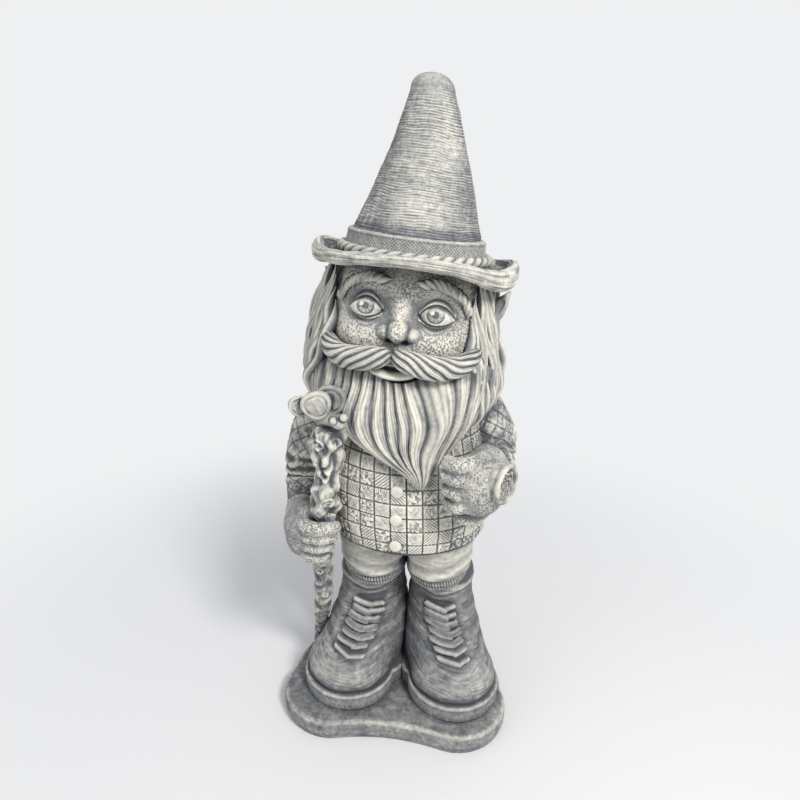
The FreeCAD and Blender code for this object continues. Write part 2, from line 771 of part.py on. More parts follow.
def build():
    """Makes every piece, cuts each one to its neighbours and returns them by name."""
    base = make_base()
    shirt_full = make_shirt()
    spine = make_spine_rod()
    rods = {side: make_leg_rod(sign) for side, sign in SIDES}
    staff = cut(make_staff(), base)
    base_slab = cut(base, rods["right"], rods["left"])
    pieces = {"base_slab": base_slab, "walking_staff": staff, "spine_rod": spine}
    skull = make_skull()
    under_brim = (0, 0, size("brim_z"))
    hat_space = on_head(cylinder("hat_space", "brim_radius + 60", "total_height - brim_z", under_brim))
    shirt = cut(shirt_full, staff, spine, rods["right"], rods["left"])
    for side, sign in SIDES:
        sole = make_sole(side, sign)
        upper = make_upper(side, sign)
        other = other_half(side, sign)
        pieces[f"{side}_leg_rod"] = rods[side]
        pieces[f"{side}_boot_sole"] = cut(sole, other, rods[side])
        upper_cut = cut(upper, other, rods[side])
        pieces[f"{side}_boot_upper"] = upper_cut
        pieces[f"{side}_boot_laces"] = make_laces(side, sign, upper_cut)
        pieces[f"{side}_sock"] = cut(make_sock(side, sign), rods[side])
        pieces[f"{side}_trouser_leg"] = cut(make_leg(side, sign), rods[side])
    arms = {side: make_sleeve(side, sign) for side, sign in SIDES}
    sleeves = {side: cut(arm, shirt_full, staff) for side, arm in arms.items()}
    barrel, glass = make_spyglass()
    right_fist = make_fist("right", (-90, -66, 226), "right_hand_height")
    left_fist = make_fist("left", (72, -84, 304), "left_hand_height")
    pieces["right_hand"] = cut(right_fist, staff, sleeves["right"], shirt_full)
    pieces["left_hand"] = cut(left_fist, sleeves["left"], shirt_full)
    pieces["right_sleeve"], pieces["left_sleeve"] = sleeves["right"], sleeves["left"]
    pieces["spyglass"] = cut(barrel, left_fist, sleeves["left"], shirt_full)
    pieces["spyglass_lens"] = glass
    pieces["shirt_body"] = shirt
    pieces["shirt_buttons"] = make_buttons(shirt_full)

    eyes = {side: make_eyes(side, sign) for side, sign in SIDES}
    nose, lip, moustache = make_nose(), make_lip(), make_moustache()
    beard, hair = make_beard(), make_hair()
    pieces["head"] = cut(skull, hat_space, shirt_full, spine, eyes["right"], eyes["left"])
    pieces["nose"] = cut(nose, skull)
    pieces["moustache"] = cut(moustache, skull, nose)
    pieces["lower_lip"] = cut(lip, skull, moustache)
    around_beard = (arms["right"], arms["left"], skull, shirt_full, moustache, lip, staff, left_fist)
    pieces["beard"] = cut(beard, *around_beard)
    for side, sign in SIDES:
        brow = make_brow(side, sign)
        pieces[f"{side}_eye"] = eyes[side]
        pieces[f"{side}_eyebrow"] = cut(brow, skull, hat_space, eyes[side])
        pieces[f"{side}_ear"] = cut(make_ear(side, sign), hair, skull, hat_space)
    around_hair = (skull, hat_space, beard, shirt_full, arms["right"], arms["left"], moustache)
    pieces["hair"] = cut(hair, *around_hair)

    hat = (make_brim(), make_band(), make_crown(), make_cord())
    brim, band, crown, cord = (on_head(thing) for thing in hat)
    pieces["hat_brim"] = cut(brim, spine)
    pieces["hat_band"] = cut(band, spine)
    pieces["hat_crown"] = cut(crown, spine)
    pieces["hat_cord"] = cord

    butterfly, wings = make_butterfly()
    pieces["butterfly_body"] = cut(butterfly, staff, beard, hair)
    pieces["butterfly_wings"] = cut(wings, butterfly, staff, beard, hair)
    return pieces


def solids_of(shape, smallest=1.0):
    """The shape's solids without slivers, biggest first."""
    kept = [s for s in shape.Solids if s.Volume > smallest]
    return sorted(kept, key=lambda s: -s.Volume)


GROUPS = ("shirt_buttons", "butterfly_wings", "right_boot_laces", "left_boot_laces", "hat_cord")


def write(pieces):
    os.makedirs("parts", exist_ok=True)
    doc.recompute()
    for thing in doc.Objects:
        if "Invalid" in thing.State or "Error" in thing.State:
            raise RuntimeError(f"{thing.Name} failed: {thing.State}")
    for name, thing in pieces.items():
        thing.Label = name
        shape = thing.Shape
        if shape.isNull() or not shape.isValid():
            raise RuntimeError(f"{name} has no valid shape")
        solids = solids_of(shape)
        if name not in GROUPS:
            solids = solids[:1]
        print(name, len(shape.Solids), len(solids), round(sum(s.Volume for s in solids)))
        Part.makeCompound(solids).exportStep(f"parts/{name}.step")


write(build())
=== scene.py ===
import math

import bpy
import numpy as np
from mathutils import Matrix, Vector


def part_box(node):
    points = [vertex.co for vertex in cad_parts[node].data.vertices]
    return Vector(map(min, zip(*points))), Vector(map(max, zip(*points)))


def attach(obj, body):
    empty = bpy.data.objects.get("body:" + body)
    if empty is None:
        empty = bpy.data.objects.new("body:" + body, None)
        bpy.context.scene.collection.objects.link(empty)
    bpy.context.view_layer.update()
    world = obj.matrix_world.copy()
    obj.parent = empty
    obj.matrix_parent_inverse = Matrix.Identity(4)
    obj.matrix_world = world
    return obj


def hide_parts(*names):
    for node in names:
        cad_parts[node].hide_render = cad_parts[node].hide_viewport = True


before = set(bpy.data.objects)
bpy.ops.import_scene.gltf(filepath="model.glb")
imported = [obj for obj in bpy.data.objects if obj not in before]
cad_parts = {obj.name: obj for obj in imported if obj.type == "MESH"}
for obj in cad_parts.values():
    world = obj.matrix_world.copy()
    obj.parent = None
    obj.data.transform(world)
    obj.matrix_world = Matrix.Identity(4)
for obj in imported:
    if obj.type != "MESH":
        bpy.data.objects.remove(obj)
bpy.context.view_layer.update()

TAU = 2 * math.pi
SIDES = (("right", -1), ("left", 1))  # each side's name and its sign along x
FINE = 1.0  # share of the full mesh resolution


# Places, all in millimetres in the frame of the CAD model


def box(node):
    """The two corners of a CAD node's box."""
    low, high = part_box(node)
    return np.array(low) * 1000, np.array(high) * 1000


def middle(node):
    low, high = box(node)
    return (low + high) / 2


def rot_y(degrees):
    c, s = math.cos(math.radians(degrees)), math.sin(math.radians(degrees))
    return np.array([[c, 0, s], [0, 1, 0], [-s, 0, c]])


def rot_z(degrees):
    c, s = math.cos(math.radians(degrees)), math.sin(math.radians(degrees))
    return np.array([[c, -s, 0], [s, c, 0], [0, 0, 1]])


HEM, SHIRT_TOP = box("shirt_body")[0][2], box("shirt_body")[1][2]
BODY_X = middle("shirt_body")[0] + 2.5
BASE_TOP = box("base_slab")[1][2]
SOLE_TOP = box("right_boot_sole")[1][2]
BOOT_TOP = box("right_sock")[0][2]
SOCK_TOP = box("right_sock")[1][2]

HEAD_TURN = rot_y(5) @ rot_z(-3)
NECK = np.array([0, 0, 425.0])
HEAD_SHIFT = np.array([-4.0, 0, 0])


def on_head(points):
    """From the head's own upright frame to the statue's, in which the head leans and turns about the neck."""
    return (points - NECK) @ HEAD_TURN.T + NECK + HEAD_SHIFT


# Noise and small functions


def hashed(i, j, k, seed):
    """A number from 0 to 1 for each place in a grid of whole numbers, the same in each run."""
    with np.errstate(over="ignore"):
        h = i.astype(np.uint32) * np.uint32(374761393) + j.astype(np.uint32) * np.uint32(668265263)
        h = h + k.astype(np.uint32) * np.uint32(3266489917) + np.uint32(seed * 7919 + 13)
        h = (h ^ (h >> np.uint32(13))) * np.uint32(1274126177)
        h = h ^ (h >> np.uint32(16))
    return h.astype(np.float64) / 4294967296.0


def cell_corners(t):
    """The eight corners of a cubic cell, each with its weight at the place t in the cell."""
    for corner in range(8):
        o = (corner & 1, corner >> 1 & 1, corner >> 2)
        weight = 1
        for axis in range(3):
            weight = weight * (t[..., axis] if o[axis] else 1 - t[..., axis])
        yield o, weight


def noise(p, cell, seed=0):
    """Smooth noise from -1 to 1. cell is its grain in mm: one number, or one for each axis."""
    q = p / np.asarray(cell, float)
    base = np.floor(q).astype(np.int64)
    t = q - base
    t = t * t * (3 - 2 * t)
    total = 0
    for o, weight in cell_corners(t):
        i, j, k = (base[..., axis] + o[axis] for axis in range(3))
        total = total + weight * hashed(i, j, k, seed)
    return total * 2 - 1


def noises(p, cell, seeds):
    """One noise for each seed, as a vector at each point."""
    return np.stack([noise(p, cell, seed) for seed in seeds], -1)


def layered(p, cell, seed=0):
    """Noise with two finer layers over it, each half as coarse and half as strong."""
    total, amount = 0, 1.0
    for octave in range(3):
        total = total + amount * noise(p, np.asarray(cell, float) / 2**octave, seed + octave)
        amount /= 2
    return total


def step(low, high, x):
    """0 up to low and 1 from high on, with a smooth rise between."""
    t = np.clip((x - low) / (high - low), 0, 1)
    return t * t * (3 - 2 * t)


def bump(x, width):
    """1 at 0, dying away on both sides."""
    return np.exp(-((x / width) ** 2))


def hill(x, width, z, height):
    """1 at (0, 0), dying away all round."""
    return np.exp(-((x / width) ** 2) - (z / height) ** 2)


def ridged(phase, sharp=0.6):
    """Rounded ridges with narrow grooves: 1 on a ridge, 0 in the groove, one ridge for each whole number."""
    return np.abs(np.sin(np.pi * phase)) ** sharp


def soft_max(a, b, k):
    """The greater of two, with a fillet of size k where they cross."""
    return np.maximum(a, b) + np.maximum(k - np.abs(a - b), 0) ** 2 / (4 * k)


def curve(stations, count):
    """Points, evenly spaced by station, on a smooth curve through rows of numbers."""
    rows = np.asarray(stations, float)
    n = len(rows)
    t = np.linspace(0, n - 1, count)
    i = np.clip(np.floor(t).astype(int), 0, n - 2)
    f = (t - i)[:, None]
    p0, p1, p2, p3 = (rows[np.clip(i + k, 0, n - 1)] for k in (-1, 0, 1, 2))
    square = 2 * p0 - 5 * p1 + 4 * p2 - p3
    cube = 3 * p1 - p0 - 3 * p2 + p3
    return 0.5 * (2 * p1 + (p2 - p0) * f + square * f**2 + cube * f**3)


def read_off(rows, at):
    """Linear values of the columns of rows, whose first column is the key."""
    rows = np.asarray(sorted(rows), float)
    return [np.interp(at, rows[:, 0], rows[:, c]) for c in range(1, rows.shape[1])]


def blurred(a, sigma_v, sigma_u, wrap=True):
    """Gaussian blur of a grid. Its last column is joined to its first if wrap is set."""
    pad_v = int(3 * sigma_v) + 1
    pad_u = int(3 * sigma_u) + 1
    b = np.pad(a, ((pad_v, pad_v), (0, 0)), mode="edge")
    b = np.pad(b, ((0, 0), (pad_u, pad_u)), mode="wrap" if wrap else "edge")
    fv = np.fft.fftfreq(b.shape[0])[:, None]
    fu = np.fft.rfftfreq(b.shape[1])[None, :]
    kernel = np.exp(-2 * (np.pi**2) * ((fv * sigma_v) ** 2 + (fu * sigma_u) ** 2))
    out = np.fft.irfft2(np.fft.rfft2(b) * kernel, s=b.shape)
    return out[pad_v:-pad_v, pad_u:-pad_u]


# Meshes

made = []


def build_mesh(name, points, faces, relief, skin=0.0, nodes=None):
    """A piece from points in mm. It stands for nodes, or for the node of its own name.

    The material reads two values at each point: relief, from 0 in a groove to 1 on a raised part, and skin,
    which is 1 where the stone is stippled like skin.
    """
    mesh = bpy.data.meshes.new(name)
    mesh.from_pydata((points / 1000).tolist(), [], faces)
    mesh.validate()
    mesh.polygons.foreach_set("use_smooth", [True] * len(mesh.polygons))
    for label, values in (("relief", relief), ("skin", skin)):
        values = np.broadcast_to(np.asarray(values, np.float32), (len(points),))
        attribute = mesh.attributes.new(label, "FLOAT", "POINT")
        attribute.data.foreach_set("value", np.ascontiguousarray(values))
    obj = bpy.data.objects.new(name, mesh)
    bpy.context.scene.collection.objects.link(obj)
    made.append((obj, nodes or [name]))


def outward(grid):
    """Normals of a grid of rings, away from the middle of each ring, and whether they had to be turned."""
    around = np.roll(grid, -1, 1) - np.roll(grid, 1, 1)
    n = np.cross(around, np.gradient(grid, axis=0))
    n = n / np.maximum(np.linalg.norm(n, axis=-1, keepdims=True), 1e-9)
    turned = ((grid - grid.mean(1, keepdims=True)) * n).sum() < 0
    return (-n if turned else n), turned


def relief_of(detail, grain=(3, 3), depth=0.6):
    """How far each point stands out of its surroundings, from 0 to 1."""
    local = detail - blurred(detail, *grain)
    wide = detail - blurred(detail, grain[0] * 3, grain[1] * 3)
    return np.clip(0.5 + 0.5 * np.tanh((0.65 * local + 0.5 * wide) / depth), 0, 1)


def tube_faces(nv, nu, start=0):
    """Faces of nv rings of nu points each, closed at both ends by the two points that follow them."""
    v, u = np.meshgrid(np.arange(nv - 1), np.arange(nu), indexing="ij")
    a = v * nu + u
    b = v * nu + (u + 1) % nu
    quads = np.stack([a, b, b + nu, a + nu], -1).reshape(-1, 4) + start
    faces = quads.tolist()
    low, high = start + nv * nu, start + nv * nu + 1
    faces += [[low, start + (i + 1) % nu, start + i] for i in range(nu)]
    top = start + (nv - 1) * nu
    faces += [[high, top + i, top + (i + 1) % nu] for i in range(nu)]
    return faces


class Bundle:
    """One mesh of closed tubes, such as laces or strands, each from a grid of rings."""

    def __init__(self):
        self.points, self.faces, self.relief, self.count = [], [], [], 0

    def add(self, grid, relief):
        nv, nu, _ = grid.shape
        _, turned = outward(grid)
        faces = tube_faces(nv, nu, self.count)
        self.faces += [face[::-1] for face in faces] if turned else faces
        self.points.append(np.concatenate([grid.reshape(-1, 3), grid[:1].mean(1), grid[-1:].mean(1)]))
        ends = [relief[0].mean(), relief[-1].mean()]
        self.relief.append(np.concatenate([relief.reshape(-1), ends]))
        self.count += nv * nu + 2

    def piece(self, name, move=None, nodes=None):
        points = np.concatenate(self.points)
        points = move(points) if move else points
        build_mesh(name, points, self.faces, np.concatenate(self.relief), nodes=nodes)


def loft_piece(name, grid, detail, relief=None, move=None, depth=0.6):
    """A closed piece from a grid of rings. detail is how far each point is pushed out along the normal."""
    shaped = grid + outward(grid)[0] * detail[..., None]
    if move is not None:
        shaped = move(shaped)
    if relief is None:
        relief = relief_of(detail, depth=depth)
    bundle = Bundle()
    bundle.add(shaped, relief)
    bundle.piece(name)


def front_angles(count, squeeze=0.5):
    """Angles round a ring from the front (-Y) towards +X, closer together at the front."""
    u = np.linspace(-math.pi, math.pi, count, endpoint=False)
    return u - squeeze * np.sin(u)


def ring_points(angle, x, y, z, half_x, half_y):
    """Points of level ellipses: one row for each z."""
    grid = np.empty((len(z), len(angle), 3))
    grid[..., 0] = x[:, None] + half_x[:, None] * np.sin(angle)[None]
    grid[..., 1] = y[:, None] - half_y[:, None] * np.cos(angle)[None]
    grid[..., 2] = z[:, None]
    return grid


def path_frames(path, seam):
    """Two directions across a path at each of its points. The first is nearest to seam."""
    ahead = np.gradient(path, axis=0)
    ahead /= np.linalg.norm(ahead, axis=1, keepdims=True)
    seam = np.broadcast_to(np.asarray(seam, float), path.shape)
    first = seam - ahead * (seam * ahead).sum(1, keepdims=True)
    first /= np.linalg.norm(first, axis=1, keepdims=True)
    return first, np.cross(ahead, first)


def circle(first, second, angle):
    """Unit circles round each point of a path, from its direction first towards second."""
    turn = angle[None, :, None]
    return first[:, None] * np.cos(turn) + second[:, None] * np.sin(turn)


def lengths_along(path):
    """The distance walked up to each point of a path, as a column."""
    return np.concatenate([[0], np.cumsum(np.linalg.norm(np.diff(path, axis=0), axis=1))])[:, None]


def signed(angle):
    """An angle from 0 to a full turn, as one from minus half a turn to half a turn, in a row."""
    return np.where(angle > math.pi, angle - TAU, angle)[None, :]


def tube_grid(path, radius, seam, count):
    """Rings square to a path. The angle runs from the seam direction."""
    first, second = path_frames(path, seam)
    angle = np.linspace(0, TAU, count, endpoint=False)
    radius = np.broadcast_to(np.asarray(radius, float), (len(path),))[:, None, None]
    return path[:, None] + radius * circle(first, second, angle), angle


def strand(bundle, path, width, height, seam, taper, grooves, seed, count, dark, light=0.86):
    """One carved strand along a path, tapering at both ends, with fine grooves along it.

    dark and light are the reliefs of its edges and of its back, and seed turns its grooves.
    """
    n = len(path)
    t = np.linspace(0, 1, n)
    swell = np.clip(step(0, taper[0], t), 0.12, 1) * np.clip(step(0, taper[1], 1 - t), 0.12, 1)
    first, second = path_frames(path, seam)
    angle = np.linspace(0, TAU, count, endpoint=False)
    groove = 0.10 * np.cos(angle * grooves * 2 + seed) * (np.cos(angle) > -0.2)
    across = (np.sin(angle) * (1 + groove))[None, :, None]
    rise = (np.cos(angle) * (1 + groove))[None, :, None]
    half = (width / 2 * swell)[:, None, None]
    tall = (height / 2 * swell)[:, None, None]
    grid = path[:, None] + second[:, None] * across * half + first[:, None] * rise * tall
    back = step(-0.10, 0.95, np.cos(angle))
    relief = np.clip(dark + (light - dark) * back + groove * 1.6, 0, 1)
    bundle.add(grid, np.broadcast_to(relief, (n, count)))


# Surfaces from distance fields


def sphere(p, centre, radius):
    """Distance to a ball, as in the functions below: less than 0 inside."""
    return np.linalg.norm(p - np.asarray(centre, float), axis=-1) - radius


def egg(p, centre, radii, turn=None):
    """Distance to an egg with three radii, nearly."""
    q = p - np.asarray(centre, float)
    if turn is not None:
        q = q @ turn
    k = np.linalg.norm(q / np.asarray(radii, float), axis=-1)
    return (k - 1) * min(radii)


def rod(p, a, b, radius_a, radius_b):
    """Distance to a round bar from a to b, with a radius at each end."""
    a, b = np.asarray(a, float), np.asarray(b, float)
    t = np.clip(((p - a) @ (b - a)) / ((b - a) @ (b - a)), 0, 1)
    radius = radius_a + (radius_b - radius_a) * t
    return np.linalg.norm(p - a - t[..., None] * (b - a), axis=-1) - radius


def bent(p, points, radii):
    """Distance to a chain of round bars through some points."""
    result = None
    for a, b, ra, rb in zip(points, points[1:], radii, radii[1:]):
        d = rod(p, a, b, ra, rb)
        result = d if result is None else np.minimum(result, d)
    return result


def join(a, b, k):
    """Two shapes as one, with a fillet of size k between them."""
    h = np.maximum(k - np.abs(a - b), 0) / k
    return np.minimum(a, b) - h * h * k / 4


def surface_of(field, low, high, cell):
    """The zero surface of a distance field, as points and faces."""
    low, high = np.asarray(low, float), np.asarray(high, float)
    cell = cell / FINE**0.5
    axes = [np.arange(low[i], high[i] + cell, cell) for i in range(3)]
    g = field(np.stack(np.meshgrid(*axes, indexing="ij"), -1))
    inside = g < 0
    shape = np.array(g.shape) - 1
    total = np.zeros((*shape, 3))
    crossings = np.zeros(tuple(shape))
    view = {c: g[tuple(slice(c[i], c[i] + shape[i]) for i in range(3))] for c in np.ndindex(2, 2, 2)}
    for a in view:
        for axis in range(3):
            if a[axis]:
                continue
            b = tuple(1 if i == axis else a[i] for i in range(3))
            ga, gb = view[a], view[b]
            cross = (ga < 0) != (gb < 0)
            t = np.where(cross, ga / np.where(cross, ga - gb, 1), 0)
            for i in range(3):
                total[..., i] += np.where(cross, a[i] + (t if i == axis else 0), 0)
            crossings += cross
    # one point in each cell that the surface crosses, in the middle of its crossings
    active = crossings > 0
    index = np.full(tuple(shape), -1)
    index[active] = np.arange(active.sum())
    where = np.argwhere(active)
    points = low + (where + total[active] / crossings[active][:, None]) * cell
    # a face round each grid edge that the surface crosses
    faces = []
    for axis in range(3):
        side_1, side_2 = [i for i in range(3) if i != axis]
        start, end = [slice(1, -1)] * 3, [slice(1, -1)] * 3
        start[axis], end[axis] = slice(0, -1), slice(1, None)
        start_in, end_in = inside[tuple(start)], inside[tuple(end)]
        for enters in (True, False):
            spots = np.argwhere((start_in != end_in) & (start_in == enters))
            if not len(spots):
                continue
            spots = spots + 1
            spots[:, axis] -= 1
            quad = []
            for d1, d2 in ((0, 0), (1, 0), (1, 1), (0, 1)):
                s = spots.copy()
                s[:, side_1] -= d1
                s[:, side_2] -= d2
                quad.append(index[s[:, 0], s[:, 1], s[:, 2]])
            quad = np.stack(quad, -1)
            flip = enters == (axis == 1)
            faces += (quad[:, ::-1] if flip else quad).tolist()
    return points, faces


def field_piece(name, field, low, high, cell, skin=0.0, relief=None):
    """A piece from a distance field. relief may be a function of the points."""
    points, faces = surface_of(field, low, high, cell)
    reach = 0.3
    for _ in range(2):  # settle the points onto the surface
        d = field(points)
        shifts = np.eye(3) * reach
        grad = np.stack([field(points + v) - field(points - v) for v in shifts], -1) / (2 * reach)
        points = points - grad * (d / np.maximum((grad**2).sum(-1), 0.2))[:, None]
    if relief is None:
        # a groove or a fold has more of the solid round it than a raised part
        grad = grad / np.maximum(np.linalg.norm(grad, axis=-1, keepdims=True), 1e-6)
        values = 0.60 + 0.9 * (field(points + grad * 3.0) / 3.0 - 0.92)
    else:
        values = relief(points)
    build_mesh(name, points, faces, np.clip(values, 0, 1), skin)


def n_of(count):
    return max(8, int(count * FINE))


# The base


def tangent(a, ra, b, rb):
    """Where the outer tangent of two circles touches each of them."""
    length = math.dist(a, b)
    normal = math.atan2(b[1] - a[1], b[0] - a[0]) - math.acos((ra - rb) / length)
    return [(c[0] + r * math.cos(normal), c[1] + r * math.sin(normal)) for c, r in ((a, ra), (b, rb))]


def arc_points(centre, radius, start, end, count):
    """Points on a circle, anticlockwise from start to end."""
    a = math.atan2(start[1] - centre[1], start[0] - centre[0])
    b = math.atan2(end[1] - centre[1], end[0] - centre[0])
    if b < a:
        b += TAU
    t = np.linspace(a, b, count)
    return np.stack([centre[0] + radius * np.cos(t), centre[1] + radius * np.sin(t)], -1)


def base_outline():
    low, high = box("base_slab")
    lobe = 60.0
    x, y = high[0] - lobe, low[1] + lobe
    rear_r = 104.0
    rear = (0.0, high[1] - rear_r)
    hollow = 265.0
    centre = (0.0, y - math.sqrt((lobe + hollow) ** 2 - x * x))
    right, left = (x, y), (-x, y)
    s1, s2 = tangent(right, lobe, rear, rear_r)
    share = lobe / (lobe + hollow)
    meet = (right[0] + (centre[0] - right[0]) * share, right[1] + (centre[1] - right[1]) * share)
    parts = [
        arc_points(right, lobe, meet, s1, 80),
        arc_points(rear, rear_r, s2, (-s2[0], s2[1]), 120),
        arc_points(left, lobe, (-s1[0], s1[1]), (-meet[0], meet[1]), 80),
        arc_points(centre, hollow, meet, (-meet[0], meet[1]), 60)[::-1],
    ]
    return np.concatenate(parts)


def by_angle(outline, centre, angle):
    """The outline's distance from the centre along each angle."""
    q = outline - np.asarray(centre)
    a = np.arctan2(q[:, 0], -q[:, 1])
    order = np.argsort(a)
    return np.interp(angle, a[order], np.linalg.norm(q, axis=1)[order], period=TAU)


def slab(angle, radius, centre, profile, count_in):
    """Rings of a slab: from the middle of its underside out to its edge, up the profile, and in over its top.

    profile is rows of inset from the outline and height.
    """
    rows = [(s, None, profile[0][1]) for s in np.linspace(0.06, 1, count_in, endpoint=False)]
    rows += [(None, inset, z) for inset, z in profile]
    rows += [(s, None, profile[-1][1]) for s in np.linspace(1, 0.05, count_in + 1)[1:]]
    grid = np.empty((len(rows), len(angle), 3))
    for i, (share, inset, z) in enumerate(rows):
        inner = profile[0][0] if i < count_in else profile[-1][0]
        r = (radius - inner) * share if inset is None else radius - inset
        grid[i, :, 0] = centre[0] + r * np.sin(angle)
        grid[i, :, 1] = centre[1] - r * np.cos(angle)
        grid[i, :, 2] = z
    return grid


def make_base():
    """The irregular slab, with a worn top edge."""
    round_r = 6.5
    angle = front_angles(n_of(640), 0.3)
    radius = by_angle(base_outline(), (0, 0), angle)
    side = [(3.0 - 3.0 * min(1, z / 8), z) for z in np.linspace(0, BASE_TOP - 7, n_of(20))]
    for a in np.linspace(0.05, math.pi / 2, 14):
        side.append((round_r * (1 - math.cos(a)), BASE_TOP - round_r + round_r * math.sin(a)))
    grid = slab(angle, radius, (0, 0), side, n_of(55))
    height = grid[..., 2]
    detail = 0.6 * layered(grid, 16, 3) + 0.22 * layered(grid, 3.0, 5)
    detail += 0.25 * noise(grid, (24, 24, 2.4), 9) * (height < BASE_TOP - 1)
    detail[height < 0.5] = 0
    relief = 0.32 + 0.6 * (relief_of(detail, (2, 2), 0.8) - 0.5)
    rim = bump(height - (BASE_TOP - 2.2), 2.0)
    on_top = height > BASE_TOP - 0.3
    relief = relief + 0.30 * rim * (0.6 + 0.4 * noise(grid, 30, 4)) - 0.10 * on_top
    loft_piece("base_slab", grid, detail, np.clip(relief, 0, 1))


# The boots

BOOT_SPLAY, HEEL_R, TOE_R, REACH = 22.0, 32.0, 55.0, 85.0
BOOT_TALL = 126.0  # the scale of the seams' heights
SHAFT = (  # share of the height, middle y, half width, half depth
    (0.00, -52, 48.0, 82),
    (0.20, -50, 47.5, 78),
    (0.38, -38, 44.6, 65),
    (0.55, -31, 40.3, 55),
    (0.75, -29, 36.7, 47),
    (1.00, -30, 36.0, 43),
)
BOOT_C = -48.0  # y of the point that the boot's rings are measured from


def keep_side(points, sign):
    """Points moved no further in than the narrow gap between the legs."""
    gap = 0.4
    x = points[..., 0]
    points[..., 0] = np.where(sign * (x - BODY_X) < gap, BODY_X + sign * gap, x)
    return points


def boot_move(sign):
    """From a boot's own frame, with its heel at the origin, to its place on the base."""
    turn = rot_z(sign * BOOT_SPLAY)
    at = np.array([BODY_X + sign * HEEL_R, 48.0, 0])
    return lambda points: keep_side(points @ turn.T + at, sign)


def ellipse_reach(angle, offset, half_x, half_y):
    """From a point inside, how far an ellipse whose centre lies offset along y is, in each direction."""
    dx, dy = np.sin(angle), -np.cos(angle)
    a = (dx / half_x) ** 2 + (dy / half_y) ** 2
    b = -2 * dy * offset / half_y**2
    c = (offset / half_y) ** 2 - 1
    return (-b + np.sqrt(np.maximum(b * b - 4 * a * c, 0))) / (2 * a)


def boot_radius(angle, z):
    """The reach of the boot at a height, in each direction: its shaft and the ball of its toe."""
    share = (z - SOLE_TOP) / (BOOT_TOP - SOLE_TOP)
    y, half_x, half_y = read_off(SHAFT, share)
    shaft = ellipse_reach(angle, y - BOOT_C, half_x, half_y)
    ball_foot, ball_tall, ball_r = SOLE_TOP + 4, 42, TOE_R - 4
    rise = (z - ball_foot) / ball_tall
    if rise >= 0.999:
        return shaft
    r = math.sqrt(1 - max(rise, 0) ** 2) * ball_r
    toe_y = -REACH + 1 - BOOT_C
    ahead = abs(toe_y) * np.cos(angle)
    across = toe_y * np.sin(angle)
    toe = ahead + np.sqrt(np.maximum(r * r - across**2, 0))
    toe = np.where((np.abs(across) < r) & (np.cos(angle) > -0.2), toe, 0)
    return soft_max(shaft, toe, 5.0)


def lace_middle(sign, share):
    """x of the middle of the laces at a share of the boot's height: they lie towards its inner side."""
    return -sign * (9 + 7 * (share - 0.32) / 0.38) - 1.5 * sign


def make_boot(side, sign):
    """A boot: its upper, with tongue, collar, creases and brush strokes, then its sole and its laces."""
    move = boot_move(sign)
    angle = front_angles(n_of(380), 0.45)
    z = np.linspace(SOLE_TOP, BOOT_TOP, n_of(230))
    z = np.concatenate([[SOLE_TOP - 1], z, [BOOT_TOP + 0.5]])
    grid = np.empty((len(z), len(angle), 3))
    for i, height in enumerate(z):
        curl = max(0, 1 - (height - SOLE_TOP) / 4)
        inset = 3.2 * (1 - math.sqrt(max(0, 1 - curl**2)))
        top = 2.6 * step(BOOT_TOP - 3, BOOT_TOP + 0.5, height)
        r = boot_radius(angle, height) - inset - top
        grid[i, :, 0] = r * np.sin(angle)
        grid[i, :, 1] = BOOT_C - r * np.cos(angle)
        grid[i, :, 2] = height
    x, y, height = grid[..., 0], grid[..., 1], grid[..., 2]
    front = y < -30
    share = (height - SOLE_TOP) / (BOOT_TOP - SOLE_TOP)
    off = x - lace_middle(sign, share)
    tongue = step(17.0, 12.0, np.abs(off)) * step(0.285, 0.325, share) * step(0.80, 0.74, share) * front
    detail = -1.5 * tongue
    # the collar: a padded roll over a stitched seam, which dips at the front
    seam = 0.865 - 0.05 * bump(off, 16) * front
    above = (share - seam) * BOOT_TALL
    detail += -1.2 * bump(above, 1.5) + 1.6 * bump(above - 6.5, 5.5)
    detail += -0.8 * bump(share * BOOT_TALL - 119.5, 1.2)
    # soft creases over the instep and brush strokes in the leather
    creases = np.sin(height * 0.32 + 2.2 * noise(grid, 26, 4))
    detail += 0.8 * creases * bump(share - 0.5, 0.22) * (1 - tongue)
    detail += 1.0 * layered(grid, 24, 21)
    warped = grid + 5 * noises(grid, 30, (31, 32, 33))
    strokes = noise(warped, (12, 12, 1.5), 14)
    detail += 0.22 * strokes + 0.10 * noise(grid, 1.8, 15)
    relief = 0.20 + 0.80 * (relief_of(detail, (2, 2), 0.9) - 0.5) + 0.08 * strokes
    toe = step(-60, -105, y) * (1 - step(0.22, 0.42, share))
    relief = relief + 0.16 * toe * bump(share - 0.16, 0.16) + 0.10 * bump(off - sign * 26, 12) * front
    relief = relief - 0.42 * bump(height - SOLE_TOP, 2.4) - 0.20 * tongue
    relief = relief + 0.12 * bump(above - 5, 3.5)
    loft_piece(f"{side}_boot_upper", grid, detail, np.clip(relief, 0, 1), move)
    make_sole(side, angle, move)
    make_laces(side, sign, move)


